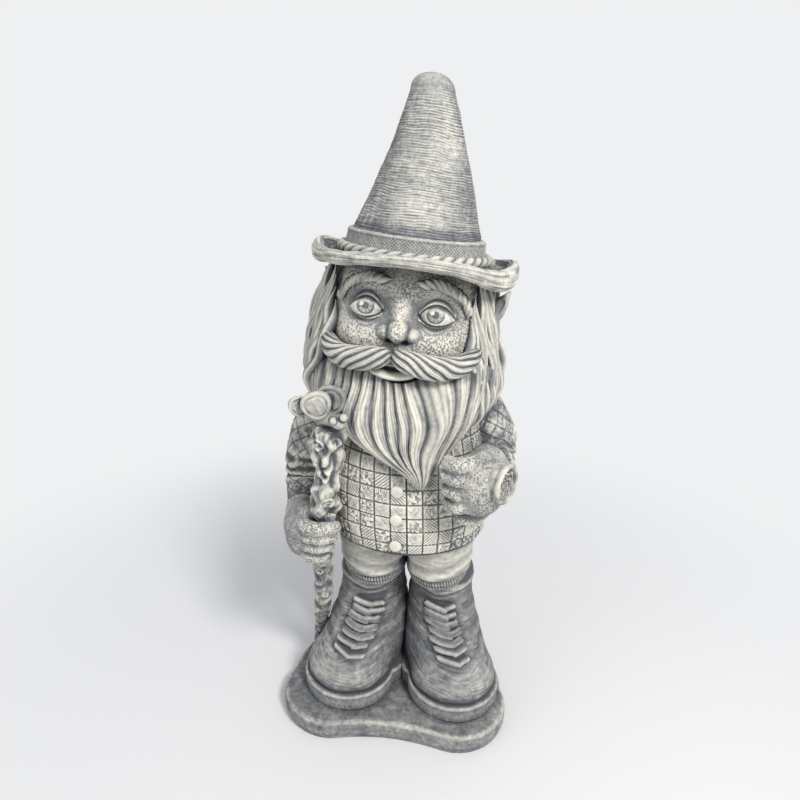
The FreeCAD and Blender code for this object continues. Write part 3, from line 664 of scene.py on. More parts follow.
def make_sole(side, angle, move):
    """The sole, with a rounded top edge, and short ticks cut in the foot of its side."""
    t1, t2 = tangent((0, 0), HEEL_R, (0, -REACH), TOE_R)
    toe = arc_points((0, -REACH), TOE_R, t2, (-t2[0], t2[1]), 160)
    heel = arc_points((0, 0), HEEL_R, (-t1[0], t1[1]), t1, 90)
    radius = by_angle(np.concatenate([toe, heel]), (0, BOOT_C), angle)
    low, high = BASE_TOP, SOLE_TOP
    profile = [(1.6, low - 0.5), (1.2, low + 1)]
    for s in np.linspace(0, 1, n_of(24)):
        profile.append((0.8 - 0.5 * math.sin(math.pi * s), low + 2 + s * (high - low - 8)))
    for a in np.linspace(0, 2.4, 16):
        profile.append((2.4 - 2.4 * math.cos(a) - 0.2, high - 5 + 3.5 * math.sin(a)))
    profile += [(7.2, high - 1.6), (9.5, high - 1.9)]
    rings_under = n_of(16)
    grid = slab(angle, radius, (0, BOOT_C), profile, rings_under)
    height = grid[..., 2]
    row = np.arange(len(grid))[:, None]
    detail = 0.35 * layered(grid, 10, 24) + 0.12 * noise(grid, 2, 25)
    wall = (height > low + 3) & (height < high - 6) & (row > rings_under)
    ticks = ridged(angle * 15 + 0.4 * noise(grid, 40, 6), 0.12)
    cut = (1 - ticks) * wall * step(low + 9, low + 8, height) * step(low + 3.2, low + 4.2, height)
    detail -= 1.6 * cut * (noise(grid, 14, 8) > -0.2)
    relief = 0.42 + 0.6 * (relief_of(detail, (2, 2), 0.8) - 0.5)
    relief += 0.28 * bump(height - (high - 2.2), 1.8) - 0.35 * (height < low + 2.0)
    relief = np.where(row > rings_under + len(profile) - 3, 0.0, relief)
    loft_piece(f"{side}_boot_sole", grid, detail, np.clip(relief, 0, 1), move)


def boot_front(x, z):
    """y of the front of the boot at a height and a distance from its middle."""
    angle = np.linspace(-1.2, 1.2, 240)
    r = boot_radius(angle, z)
    return np.interp(x, r * np.sin(angle), BOOT_C - r * np.cos(angle))


def make_laces(side, sign, move):
    """Seven rows. In each, a long bar from the statue's right lies over the end of a short one."""
    bundle = Bundle()
    rows = 7
    long_drop, short_drop = (8.5, 2.0) if sign < 0 else (3.5, -6.5)
    for row in range(rows):
        share = 0.70 - 0.385 * row / (rows - 1)
        z = SOLE_TOP + share * (BOOT_TOP - SOLE_TOP)
        middle_x = lace_middle(sign, share)
        reach = 16.0 + 0.35 * row
        drift = 1.2 * math.sin(row * 2.4 + sign)
        flatter = 1 - 0.5 * row / (rows - 1) if sign > 0 else 1
        low_z = z - 3.2 if sign > 0 else z - 4.0
        bar_start, bar_end = middle_x + 1.0, middle_x + reach + 1 + drift
        bars = [  # x and z of both ends, and width
            (bar_start, low_z + 2.0, bar_end, low_z + 2.0 - short_drop * flatter, 8.8),
            (middle_x - reach + drift, z + 0.55 * long_drop, middle_x + 9.0, z - 0.45 * long_drop, 9.6),
        ]
        for order, (x0, z0, x1, z1, width) in enumerate(bars):
            t = np.linspace(0, 1, 18)
            xs = x0 + (x1 - x0) * t
            zs = z0 + (z1 - z0) * t + 0.8 * np.sin(math.pi * t + row)
            lift = 2.0 * np.clip(np.sin(math.pi * t) * 2.2, 0, 1) + (0.9 if order else 0.0) - 0.9
            ys = np.array([boot_front(a, b) for a, b in zip(xs, zs)]) - lift
            lace = {"height": 6.6, "seam": (0, -1, 0.35), "taper": (0.12, 0.12), "grooves": 1.5, "count": 22}
            path = np.stack([xs, ys, zs], -1)
            strand(bundle, path, width, **lace, seed=row + order, dark=0.10, light=0.64)
    bundle.piece(f"{side}_boot_laces", move)


# The legs, the shirt and the arms


def make_leg(side, sign):
    """A trouser leg with soft folds, and the sock below it."""
    angle = front_angles(n_of(300), 0.4)
    rows = (  # z, half width, half depth, middle y, middle x from the body's middle
        (SOCK_TOP - 2, 33.5, 44, 2, 37),
        (SOCK_TOP, 36.0, 47, 2, 38),
        (SOCK_TOP + 3, 38.5, 49.5, 2, 38),
        (SOCK_TOP + 14, 39.5, 51, 1, 38),
        (SOCK_TOP + 32, 41.0, 55, 0, 38),
        (HEM, 43.0, 60, -1, 39),
        (HEM + 6, 43.5, 61, -2, 39),
    )
    foot = np.linspace(SOCK_TOP - 2, SOCK_TOP + 4, n_of(14))
    z = np.concatenate([foot, np.linspace(SOCK_TOP + 4.6, HEM + 6, n_of(90))])
    half_x, half_y, y, x = read_off(rows, z)
    grid = ring_points(angle, BODY_X + sign * x, y, z, half_x, half_y)
    height, off = grid[..., 2], grid[..., 0] - BODY_X
    detail = 1.3 * layered(grid, (36, 36, 14), 41 + (sign > 0))
    folds = np.sin(0.28 * (height - 0.25 * np.abs(off)) + 1.8 * noise(grid, 30, 46))
    detail += 1.2 * folds * step(HEM, SOCK_TOP + 8, height)
    detail += 0.30 * noise(grid, (16, 16, 1.7), 42) + 0.14 * noise(grid, 2, 43)
    relief = 0.62 + 0.60 * (relief_of(detail, (2, 2), 0.9) - 0.5)
    relief = relief - 0.25 * bump(height - HEM, 5) - 0.3 * bump(off, 4)

    def trim(points):
        return keep_side(points, sign)

    loft_piece(f"{side}_trouser_leg", grid, detail, np.clip(relief, 0, 1), trim)
    make_sock(side, sign, angle, trim)


def make_sock(side, sign, angle, trim):
    """A ribbed roll between the boot and the trouser leg."""
    z = np.linspace(BOOT_TOP - 1, SOCK_TOP + 1, n_of(34))
    t = (z - BOOT_TOP) / (SOCK_TOP - BOOT_TOP)
    swell = 3.0 * np.sin(math.pi * np.clip(t, 0, 1))
    one = np.ones_like(z)
    grid = ring_points(angle, (BODY_X + sign * 37) * one, 3 * one, z, 33 + swell, 43 + swell)
    height = grid[..., 2]
    ribs = ridged(angle * 34 / math.pi + 0.05 * height + 0.2 * noise(grid, 20, 3), 0.8)
    detail = 1.2 * ribs + 0.3 * noise(grid, 2, 44)
    detail -= 1.2 * bump(height - (BOOT_TOP + 0.36 * (SOCK_TOP - BOOT_TOP)), 1.0)
    loft_piece(f"{side}_sock", grid, detail, move=trim, depth=1.2)


SHIRT = (  # share of the height, half width, half depth, middle y
    (-0.02, 83.5, 73.0, -4),
    (0.00, 86.5, 77.0, -4),
    (0.05, 88.5, 79.0, -4),
    (0.14, 92.0, 81.0, -3),
    (0.32, 92.0, 81.0, -2),
    (0.52, 88.3, 77.0, 0),
    (0.72, 80.0, 67.2, 2),
    (0.88, 64.4, 53.5, 3),
    (1.00, 42.3, 38.9, 2),
)
CHECK = 15.6  # the shirt's squares


def checks(across, up, seed):
    """Relief of a checked cloth: squares of four kinds between engraved lines."""
    i, j = np.floor(across / CHECK).astype(int), np.floor(up / CHECK).astype(int)
    fx, fy = across / CHECK - i, up / CHECK - j
    edge = np.minimum(np.minimum(fx, 1 - fx), np.minimum(fy, 1 - fy)) * CHECK
    field = step(0.35, 1.15, edge)
    kind = hashed(i + 50, j + 50, i * 0, seed)
    q = np.stack([across, up, across * 0], -1)
    hatch = np.sign(kind - 0.62) * across + up
    hatch = ridged(hatch / 3.5 + 0.15 * noise(q, 4, seed + 3), 0.8) - 0.70
    grain = noise(q, 1.9, seed + 5)
    curls = ridged(noise(q, 4.4, seed + 9) * 2.2, 0.7) - 0.65
    kinds = [kind < 0.24, kind < 0.50, kind < 0.74]
    texture = np.select(kinds, [0.3 * grain + 0.25, 1.5 * curls, 1.4 * hatch], 0.9 * grain - 0.1)
    return field * (1.25 + texture)


def make_shirt():
    """The shirt, with its squares cut all round and an opening down the front."""
    foot = np.linspace(HEM - 2.5, HEM + 1, n_of(8))
    seen = np.linspace(HEM + 1.6, HEM + 130, n_of(176))
    hidden = np.linspace(HEM + 133, SHIRT_TOP, n_of(16))
    z = np.concatenate([foot, seen, hidden])
    angle = front_angles(n_of(490), 0.60)
    share = (z - HEM) / (SHIRT_TOP - HEM)
    half_x, half_y, y = read_off(SHIRT, share)
    grid = ring_points(angle, BODY_X * (1 - np.clip(share, 0, 1)), y, z, half_x, half_y)
    # the squares are counted from the opening, on a middling radius
    across = np.broadcast_to(angle, grid.shape[:2]) * 84.0 + 9.8
    up = grid[..., 2] - HEM + 2.0 + 1.5 * noise(grid, 60, 51)
    across = across + 1.2 * noise(grid, 50, 52)
    detail = checks(across, up, 11) - 0.8 * bump(across - CHECK, 0.6)
    detail = detail + 0.8 * layered(grid, 34, 54) + 0.12 * noise(grid, 1.8, 55)
    hem = step(HEM + 1.2, HEM + 3.4, grid[..., 2])
    detail = detail * hem
    relief = 0.56 + 1.0 * (relief_of(detail, (2, 3), 0.75) - 0.5)
    relief = relief * (0.35 + 0.65 * hem)
    loft_piece("shirt_body", grid, detail, np.clip(relief, 0, 1))


def make_buttons():
    """Three domed buttons that sit on the front of the shirt."""
    low, high = box("shirt_buttons")
    bundle = Bundle()
    pitch = (high[2] - low[2] - 14) / 2
    x = (low[0] + high[0]) / 2
    # radius, and distance behind the face that the button sits on
    profile = ((5.8, 2.5), (6.3, 0), (6.4, -1.4), (6.0, -2.4), (5.0, -3.0), (3.2, -3.3), (1.2, -3.5))
    profile = curve(profile, 18)
    turn = np.linspace(0, TAU, 40, endpoint=False)
    for row in range(3):
        z = low[2] + 7 + row * pitch
        share = (z - HEM) / (SHIRT_TOP - HEM)
        half_x, half_y, y = read_off(SHIRT, share)
        front = y - half_y * math.sqrt(max(0, 1 - ((x - BODY_X * (1 - share)) / half_x) ** 2))
        grid = np.empty((len(profile), len(turn), 3))
        grid[..., 0] = x + profile[:, :1] * np.cos(turn)
        grid[..., 2] = z + profile[:, :1] * np.sin(turn)
        grid[..., 1] = front + profile[:, 1:2] - 0.6
        grid[..., 1] += 0.15 * noise(grid, 2.5, 61)
        relief = np.broadcast_to(step(1.0, -2.0, profile[:, 1])[:, None], grid.shape[:2])
        bundle.add(grid, relief * 0.95)
    bundle.piece("shirt_buttons")


ARMS = {  # x outwards, y, z and radius of the sleeve, from the shoulder to the wrist
    "right": (
        (44, 10, 402, 18),
        (66, 9, 393, 25),
        (90, 7, 368, 29),
        (106, 5, 328, 30.5),
        (110, 0, 288, 29),
        (107, -20, 266, 26),
        (103, -44, 256, 22),
        (101, -52, 254, 18),
    ),
    "left": (
        (44, 10, 402, 18),
        (66, 9, 393, 25),
        (84, 8, 372, 28.5),
        (94, 6, 345, 29.5),
        (97, -4, 324, 27.5),
        (93, -28, 328, 25),
        (88, -50, 334, 21),
        (86, -58, 336, 17),
    ),
}


def make_sleeve(side, sign):
    """A sleeve with crossed lines, folds at the elbow and a turned-back cuff."""
    rows = curve(ARMS[side], n_of(230))
    path = rows[:, :3] * np.array([sign, 1, 1])
    grid, angle = tube_grid(path, rows[:, 3], (0, -1, 0.35), n_of(230))
    along = lengths_along(path)
    around = signed(angle) * 28
    pitch = 17.0
    a, b = (around + along) / pitch, (around - along) / pitch
    lattice = np.minimum(np.abs(a - np.round(a)), np.abs(b - np.round(b))) * pitch
    detail = -1.1 * bump(lattice, 0.8) + 0.50 * noise(grid, 1.7, 71)
    detail += 1.9 * layered(grid, 24, 72)
    bend = bump(along - along[-1] * 0.66, 22)
    detail += 1.4 * bend * np.sin(along * 0.42 + 2 * noise(grid, 22, 73))
    total = along[-1, 0]
    cuff = step(total - 19, total - 16, along) * step(total - 4, total - 7, along)
    detail = detail * (1 - cuff * 0.6) + 1.8 * cuff
    relief = 0.40 + 0.9 * (relief_of(detail, (3, 3), 0.9) - 0.5) + 0.1 * cuff
    loft_piece(f"{side}_sleeve", grid, detail, np.clip(relief, 0, 1))


def finger(p, points, radius):
    """Three bones in a row, a little thicker at the middle joint."""
    radii = [radius, radius * 1.08, radius * 1.02, radius * 0.9]
    return bent(p, points, radii)


def right_hand(p):
    """A fist round the staff: the back of the hand, the wrist, four fingers and the thumb on top."""
    low, high = box("right_hand")
    tall = high[2] - low[2]
    q = p - np.array([low[0] - 1, low[1], low[2]])
    d = egg(q, (15, 20, tall * 0.56), (18, 24, 31))
    d = join(d, rod(q, (14, 30, tall * 0.66), (8, 58, tall * 0.66), 20, 21), 10)
    for i, (radius, reach) in enumerate(((7.6, 53), (6.4, 51), (5.6, 48), (5.4, 43))):
        z = tall * (0.80 - 0.215 * i)
        points = ((14, 12, z + 2), (26, 0, z + 1), (38, -1, z), (reach, 8, z - 1))
        d = join(d, finger(q, points, radius), 3.0)
    thumb = bent(q, ((18, 22, tall), (34, 14, tall + 1), (47, 16, tall - 3)), (8, 7, 5.5))
    return join(d, thumb, 4) + 0.5 * noise(p, 7, 81)


def left_hand(p):
    """A fist round the spyglass, with the fingers in front of it and the thumb below."""
    low, high = box("left_hand")
    tall = high[2] - low[2]
    q = p - np.array([low[0] - 1, low[1] - 2, low[2]])
    d = egg(q, (37, 21, tall * 0.46), (19.5, 25, 33))
    d = join(d, rod(q, (38, 34, tall * 0.5), (42, 56, tall * 0.46), 23, 22), 10)
    d = join(d, egg(p, (84, -98, 340), (25, 27, 31)), 7)
    for i, (radius, tip) in enumerate(((8.0, 6.5), (7.9, 6.0), (7.7, 7.5), (7.0, 9.5))):
        z = tall * (0.88 - 0.215 * i)
        points = ((36, 11, z), (26, 1, z + 0.5), (16, -1, z), (tip, 7, z - 0.5))
        d = join(d, finger(q, points, radius), 3.2)
    thumb = bent(q, ((44, 24, 2), (32, 10, -4), (20, 12, -4)), (8, 7, 5.5))
    return join(d, thumb, 5) + 0.5 * noise(p, 7, 82)


def make_hands():
    low, high = box("right_hand")
    field_piece("right_hand", right_hand, low - 14, high + 26, cell=1.05, skin=1.0)
    low, high = box("left_hand")
    room = np.array([14, 36, 20])
    field_piece("left_hand", left_hand, low - room, high + 26, cell=1.1, skin=1.0)


KNOTS = (  # z, turn round the staff from the front, and size
    (331, 0.15, 9),
    (302, 0.5, 8),
    (366, -0.5, 9),
    (368, 0.8, 8),
    (150, 0.4, 7),
    (112, -0.5, 6),
    (196, -0.2, 7),
)


def make_staff():
    """A knotty stick: swellings, twisted ribs and carved bark."""
    top = box("walking_staff")[1][2]
    stations = (  # x, y, z and radius
        (-109, 20, BASE_TOP - 1, 9.6),
        (-102, 3, 75, 10.4),
        (-94, -18, 125, 11.8),
        (-84, -50, 200, 12.6),
        (-82, -67, 245, 12.5),
        (-77, -74, 280, 12.5),
        (-76, -77, 294, 16.0),
        (-75, -78, 312, 16.5),
        (-74, -79, 328, 14.8),
        (-72, -79, 348, 17.6),
        (-70, -80, 366, 18.6),
        (-70, -80, top - 3, 16.5),
        (-70, -80, top + 3, 12.0),
    )
    rows = curve(stations, n_of(420))
    grid, angle = tube_grid(rows[:, :3], rows[:, 3], (0, -1, 0), n_of(200))
    along = lengths_along(rows[:, :3])
    upper = step(262, 285, grid[..., 2])
    twist = angle[None, :] + along * 0.03 + 1.1 * noise(grid, 26, 91)
    ribs = ridged(twist * 4 / TAU, 0.8)
    warped = grid + 4 * noises(grid, 12, (901, 902, 903))
    lumps = noise(warped, (9, 9, 13), 904)
    detail = (0.9 + 0.9 * upper) * ribs + (1.2 + 2.4 * upper) * np.tanh(lumps * 2.2)
    detail += (0.8 + 1.6 * upper) * layered(warped, (12, 12, 16), 92)
    for z, a, size in KNOTS:
        across = ((angle[None, :] - a + math.pi) % TAU - math.pi) * 14
        up = grid[..., 2] - z
        d = np.sqrt(across**2 + up**2)
        swirl = np.cos(d / size * 7.5 + np.arctan2(across, up))
        detail += step(size, size * 0.55, d) * (2.0 + 0.9 * swirl)
    detail += 0.65 * noise(warped, (2.4, 2.4, 9), 93) + 0.25 * noise(grid, 1.8, 94)
    relief = 0.37 + (relief_of(detail, (3, 3), 1.3) - 0.5) * 0.85 + 0.03 * upper
    loft_piece("walking_staff", grid, detail - 2.2 - 1.6 * upper, relief)


WINGS = (  # middle, radius, turn about the upright, and turn of the rim's waves
    ((-77.5, -93, 408), 14.2, 8, 10),
    ((-65.5, -80, 410), 15.0, -12, -8),
    ((-96, -87, 404), 10.5, 24, 30),
)


def rounded(a, b, r):
    """The overlap of two shapes, with its edges rounded to r."""
    outside = np.sqrt(np.maximum(a + r, 0) ** 2 + np.maximum(b + r, 0) ** 2)
    return outside - r + np.minimum(np.maximum(a + r, b + r), 0)


def butterfly_wings(p):
    """Three thick discs, each with a vein and a ring cut in both faces."""
    d = None
    for centre, radius, yaw, phase in WINGS:
        q = (p - np.array(centre)) @ rot_z(yaw)
        x, y, z = q[..., 0], q[..., 1], q[..., 2]
        r = np.sqrt((x / 1.05) ** 2 + z**2)
        a = np.arctan2(z, x)
        lobe = radius * (1 + 0.05 * np.cos(3 * a + phase))
        share = r / lobe
        vein = bump(x * 0.9 + z * 0.45, 0.7) * step(0.62, 0.5, share)
        fan = np.cos(a * 4 + 1) * step(0.15, 0.3, share) * step(0.7, 0.6, share)
        flat = np.abs(y) - 3.4 + 0.9 * bump(r - lobe * 0.70, 1.1) - 0.7 * vein + 0.3 * fan
        wing = rounded(r - lobe, flat, 2)
        d = wing if d is None else np.minimum(d, wing)
    return d


def butterfly_body(p):
    """A tapered body with two ball eyes on its head."""
    head = np.array([-56.0, -89, 391])
    d = bent(p, ((-98, -82, 400), (-76, -85, 393), head), (3.5, 6.8, 6.5))
    d = join(d, sphere(p, head, 7.6), 2)
    for dx, dz in ((-4.6, 3.0), (5.4, 6.8)):
        d = np.minimum(d, sphere(p, head + np.array([dx, -6.5, dz]), 3.9))
    return d + 0.25 * noise(p, 4, 96)


def make_butterfly():
    low, high = box("butterfly_wings")
    field_piece("butterfly_wings", butterfly_wings, low - 7, high + 7, cell=0.75)
    low, high = box("butterfly_body")
    field_piece("butterfly_body", butterfly_body, low - 7, high + 8, cell=0.8)


def make_spyglass():
    """The barrel's end, with a raised rim, and the glass behind it with its worn pattern."""
    low, high = box("spyglass_lens")
    way = np.array([0.85, -0.53, 0])
    way = way / np.linalg.norm(way)
    side = np.array([way[1], -way[0], 0])
    mouth = (low + high) / 2 + way * 4.0 + np.array([-0.5, 0, 2.5])
    turn = np.linspace(0, TAU, n_of(190), endpoint=False)
    ring = circle(side[None], np.array([[0, 0, 1.0]]), turn)

    def turned(rows):
        """A solid of revolution about the barrel's axis, from rows of radius and distance past the mouth."""
        return mouth + rows[:, :1, None] * ring + rows[:, 1:2, None] * way

    profile = ((12, -44), (17.8, -44), (17.9, -12), (17.6, -6.5), (19.2, -4.8), (19.6, -2.4), (19.0, -0.5))
    profile += ((17.4, 0.3), (15.6, -0.4), (15.1, -2.2), (14.7, -5.4), (10, -5.6), (3, -5.6))
    rows = curve(profile, n_of(130))
    grid = turned(rows)
    detail = 0.3 * noise(grid, (6, 6, 6), 97) + 0.25 * noise(grid, 2, 98)
    inside = (rows[:, 1:2] < -4.6) * (rows[:, :1] < 15.9)
    relief = np.clip(0.72 + 0.25 * noise(grid, 5, 99) - 0.6 * inside, 0, 1)
    loft_piece("spyglass", grid, detail, relief)

    radii = np.linspace(14.8, 0.8, n_of(46))
    rows = np.array([(r, -7.5) for r in radii[:2]] + [(r, -4.4) for r in radii])
    grid = turned(rows)
    radius = rows[:, :1]
    swirl = ridged(radius / 4.6 + 0.5 * np.sin(turn * 3 + radius * 0.2), 0.7)
    detail = 1.5 * swirl + 0.8 * noise(grid, 3, 100)
    detail[:2] = 0
    relief = relief_of(detail, (3, 6), 0.6) * 0.9
    loft_piece("spyglass_lens", grid + detail[..., None] * way, detail * 0, relief)


# The head

EYE = (33.5, 498.0)  # x outwards and z
NOSE_X = 1.0


def eye_distance(x, z):
    """Coordinates from the nearer eye: outwards and up."""
    return np.abs(x) - EYE[0], z - EYE[1]


def face_form(x, z):
    """How far the plain face stands forward: a ball with cheeks, eye sockets, a brow and a chin."""
    out, up = eye_distance(x, z)
    away = np.abs(x)
    f = np.sqrt(np.maximum(86**2 - (x / 1.02) ** 2 - ((z - 478) * 0.92) ** 2, 200)) - 10
    f = f + 8.0 * hill(away - 45, 22, z - 467, 17)
    f = f + 3.0 * hill(away - 21, 12, z - 471, 12)
    f = f - 8.5 * hill(out + 1, 22, up + 1, 14.5)
    f = f - 3.5 * hill(away - 14, 8, z - 500, 14)
    f = f + 4.0 * hill(out - 1, 26, up - 24, 8.5)
    return f + 13.5 * hill(x, 32, z - 443, 15)


def carve_eyes(f, dark, x, z):
    """A ball between two lids, with an iris, a pupil and a glint, folds above and below, and painted shade in
    the socket round the eye.
    """
    out, up = eye_distance(x, z)
    inner, outer = -16.5, 18.0
    t = np.clip((out - inner) / (outer - inner), 0, 1)
    arch = np.sin(math.pi * t**0.92)
    slope = -3.4 - 0.6 * t
    top = slope + 11.4 * arch**0.85
    bottom = slope - 5.4 * arch**0.9
    within = (out > inner) & (out < outer)
    gap = np.minimum(top - up, up - bottom)
    opening = step(-0.4, 0.4, np.where(within, gap, -5))
    on_lid = (t > 0) * (t < 1)
    lidded = f + 3.8 * bump(up - (top + 2.2), 2.2) * on_lid + 2.4 * bump(up - (bottom - 1.7), 1.7) * on_lid
    crease = slope + 17.2 * arch**0.7
    lidded = lidded - 1.6 * bump(up - crease, 1.0) * step(-20, -12, out) * step(23, 15, out)
    for drop, deep in ((10.5, 1.2), (14.5, 0.8)):
        fold = slope - drop * arch**0.7
        lidded = lidded - deep * bump(up - fold, 0.9) * step(-17, -10, out) * step(22, 13, out)
        lidded = lidded + 0.9 * deep * bump(up - fold + 2.4, 1.6) * step(-16, -8, out) * step(20, 12, out)

    iris_out, iris_up = out + 0.2, up - 1.2
    iris = np.hypot(iris_out, iris_up)
    pupil = step(3.7, 3.0, iris)
    spokes = np.cos(9 * np.arctan2(iris_up, iris_out)) * step(3.4, 5, iris) * step(7.6, 6.4, iris)
    ball = 65.0 + np.sqrt(np.maximum(15.5**2 - out**2 - up**2, 0.0)) * 0.72 - 1.6
    ball = ball - 1.3 * bump(iris - 8.1, 0.6) - 0.7 * step(8.0, 7.4, iris) + 0.12 * spokes - 0.8 * pupil
    glint = np.hypot(x - np.sign(x) * EYE[0] + 3.4, up - 2.6)
    ball = ball + 2.0 * step(2.3, 1.5, glint)
    f = lidded * (1 - opening) + np.maximum(ball, lidded - 6) * opening

    clear = opening * (glint > 2.1)
    dark = dark - 0.42 * bump(iris - 8.1, 0.8) * opening - 0.20 * step(3.9, 3.0, iris) * clear
    dark = dark - 0.34 * step(8.0, 7.4, iris) * clear + 0.06 * spokes + 0.35 * step(2.4, 1.6, glint) * opening
    dark = dark - 0.22 * bump(up - crease, 1.0) * on_lid - 0.16 * bump(up - bottom + 6.5, 1.6) * on_lid
    dark = dark - 0.42 * bump(gap, 0.8) * within - 0.10 * opening * (iris > 8.8)
    dark = dark + 0.22 * bump(up - (top + 1.8), 1.3) * on_lid + 0.18 * bump(up - (bottom - 1.6), 1.1) * on_lid
    # painted shade: the skin round each eye, outside its opening, is darkened where the socket lies in shadow
    painted_socket_shade = hill(out, 21, up + 1, 15) + 0.6 * hill(np.abs(x) - 17, 8, z - 503, 14)
    return f, dark - 0.16 * painted_socket_shade * (1 - opening)


def carve_nose(f, dark, x, z):
    """A round nose on a narrow bridge, with two wings and nostrils."""
    ridge = np.clip((z - 480) / 32, 0, 1)
    bridge = 12 * (1 - ridge) ** 1.1 + 2.2
    x = x - NOSE_X
    f = f + bridge * bump(x, 8.5 - 1.5 * ridge) * step(516, 498, z) * step(466, 477, z)
    knob = np.sqrt(np.maximum(1 - (x / 11.5) ** 2 - ((z - 480) / 13.0) ** 2, 0))
    f = soft_max(f, np.where(knob > 0, 64 + 30 * knob, 0), 6.5)
    dark = dark - 0.10 * (knob > 0.3)
    for _, s in SIDES:
        wing = np.sqrt(np.maximum(1 - ((x - s * 12.6) / 9.8) ** 2 - ((z - 477.5) / 8.8) ** 2, 0))
        f = soft_max(f, np.where(wing > 0, 60 + 23.0 * wing, 0), 7.0)
        dark = dark - 0.14 * step(0.2, 0.7, wing)
        nostril = hill(x - s * 7.4, 3.2, z - 470, 2.4)
        f = f - 7 * nostril
        dark = dark - 0.5 * nostril - 0.14 * hill(x - s * 10.6, 1.2, z - 477, 6.0)
    return f, dark


def carve_mouth(f, dark, x, z):
    """A smiling mouth between a thin upper lip and a full lower one."""
    away = np.abs(x)
    smile = z - (444.6 + 0.0105 * x**2) - 0.6
    f = f - 5.0 * bump(smile, 1.9) * step(23, 17, away)
    dark = dark - 0.5 * bump(smile, 1.9) * step(21, 15, away)
    upper = z - (449.3 + 0.004 * x**2)
    f = f + 2.6 * bump(upper, 2.6) * step(19, 10, away)
    lower = z - (437.4 + 0.0105 * x**2)
    f = f + 13.0 * bump(lower, 5.8) * step(28, 18, away)
    dark = dark + 0.24 * bump(lower, 4.0) * step(24, 16, away)
    return f, dark - 0.3 * bump(lower + 8.0, 1.8) * step(24, 14, away)


def face_height(x, z):
    """How far the face stands forward (towards -Y), and how much darker or lighter than plain it is."""
    f, dark = face_form(x, z), np.zeros_like(x)
    for carve in (carve_eyes, carve_nose, carve_mouth):
        f, dark = carve(f, dark, x, z)
    return f, dark


def make_face():
    """The face and everything carved in it, closed by one point far behind, inside the hair."""
    x, z = np.meshgrid(np.linspace(-80, 80, n_of(300)), np.linspace(424, 549, n_of(236)))
    f, dark = face_height(x, z)
    grain = np.stack([x, z, x * 0], -1)
    pits = noise(grain, 1.5, 101)
    skin = np.clip(1 - np.maximum(np.abs(dark) * 2.5 - 0.2, 0), 0, 1)
    out, up = eye_distance(x, z)
    skin = skin * (1 - bump(np.hypot(out / 1.5, up), 11)) * step(447, 455, z)
    f = f + (0.30 * pits + 0.25 * noise(grain, 5, 102)) * (0.25 + 0.75 * skin)
    local = f - blurred(f, 3.2, 3.2, False)
    wide = f - blurred(f, 10, 10, False)
    relief = np.clip(0.64 + 0.20 * np.tanh(local / 0.7) + 0.20 * np.tanh(wide / 3.0) + dark, 0, 1)
    nv, nu = x.shape
    points = np.stack([x, -f, z], -1).reshape(-1, 3)
    back = np.array([[0, 30, 480.0]])
    v, u = np.meshgrid(np.arange(nv - 1), np.arange(nu - 1), indexing="ij")
    a = (v * nu + u).reshape(-1)
    faces = np.stack([a, a + 1, a + nu + 1, a + nu], -1).tolist()
    index = np.arange(nv * nu).reshape(nv, nu)
    rim = [*index[0], *index[1:, -1], *index[-1, -2::-1], *index[-2:0:-1, 0]]
    rim = [int(i) for i in rim]
    centre = len(points)
    faces += [[rim[(i + 1) % len(rim)], rim[i], centre] for i in range(len(rim))]
    relief = np.append(relief.reshape(-1), 0.5)
    skin = np.append(skin.reshape(-1), 0)
    nodes = ["head", "nose", "right_eye", "left_eye", "lower_lip"]
    build_mesh("face", on_head(np.concatenate([points, back])), faces, relief, skin, nodes)


def smoothed(values, sigma):
    """A row of values, blurred along its length."""
    return blurred(np.repeat(values[:, None], 3, 1), sigma, 1)[:, 0]


BROW = ((17, 522), (26, 524.5), (36, 523.5), (47, 519), (56, 511.5), (61.5, 501.5))  # out, z


def make_brows():
    """Ten tufts along each brow, which fan out upwards."""
    line = curve(BROW, 60)
    count = 10
    for side, s in SIDES:
        bundle = Bundle()
        for i in range(count):
            k = int(3 + 54 * i / (count - 1))
            at, ahead = line[k], line[min(k + 1, 59)] - line[k - 1]
            ahead = ahead / np.linalg.norm(ahead)
            lean = math.radians(-40 + 22 * i / count)
            turn = np.array([[math.cos(lean), -math.sin(lean)], [math.sin(lean), math.cos(lean)]])
            way = turn @ ahead
            reach = 8.5 + 1.5 * math.sin(math.pi * i / count) - (2 if i > 8 else 0)
            t = np.linspace(-1, 1, 14)[:, None]
            flat = at + way * t * reach + np.array([-way[1], way[0]]) * (1 - t**2) * 1.8
            x, z = s * flat[:, 0], flat[:, 1]
            y = smoothed(-face_height(x, z)[0] - 3.0 - 0.9 * (i % 2), 2)
            path = np.stack([x, y, z], -1)
            tuft = {"width": 8.4, "height": 9.5, "taper": (0.40, 0.35), "grooves": 1.5, "count": 18}
            strand(bundle, path, **tuft, seam=(0, -1, 0), seed=i, dark=0.0)
        bundle.piece(f"{side}_eyebrow", on_head)


MOUSTACHE = (  # out, y, z, radius
    (0, -90, 463.0, 3.5),
    (5, -93, 460.5, 6.5),
    (13, -94.5, 457.5, 8.8),
    (25, -92.5, 455.0, 9.9),
    (38, -87, 452.6, 10.2),
    (50, -79.5, 451.6, 10.0),
    (61, -71, 453.6, 9.2),
    (69, -63, 458.0, 8.2),
    (75, -56, 463.5, 6.4),
    (77.5, -53, 467.5, 4.0),
)


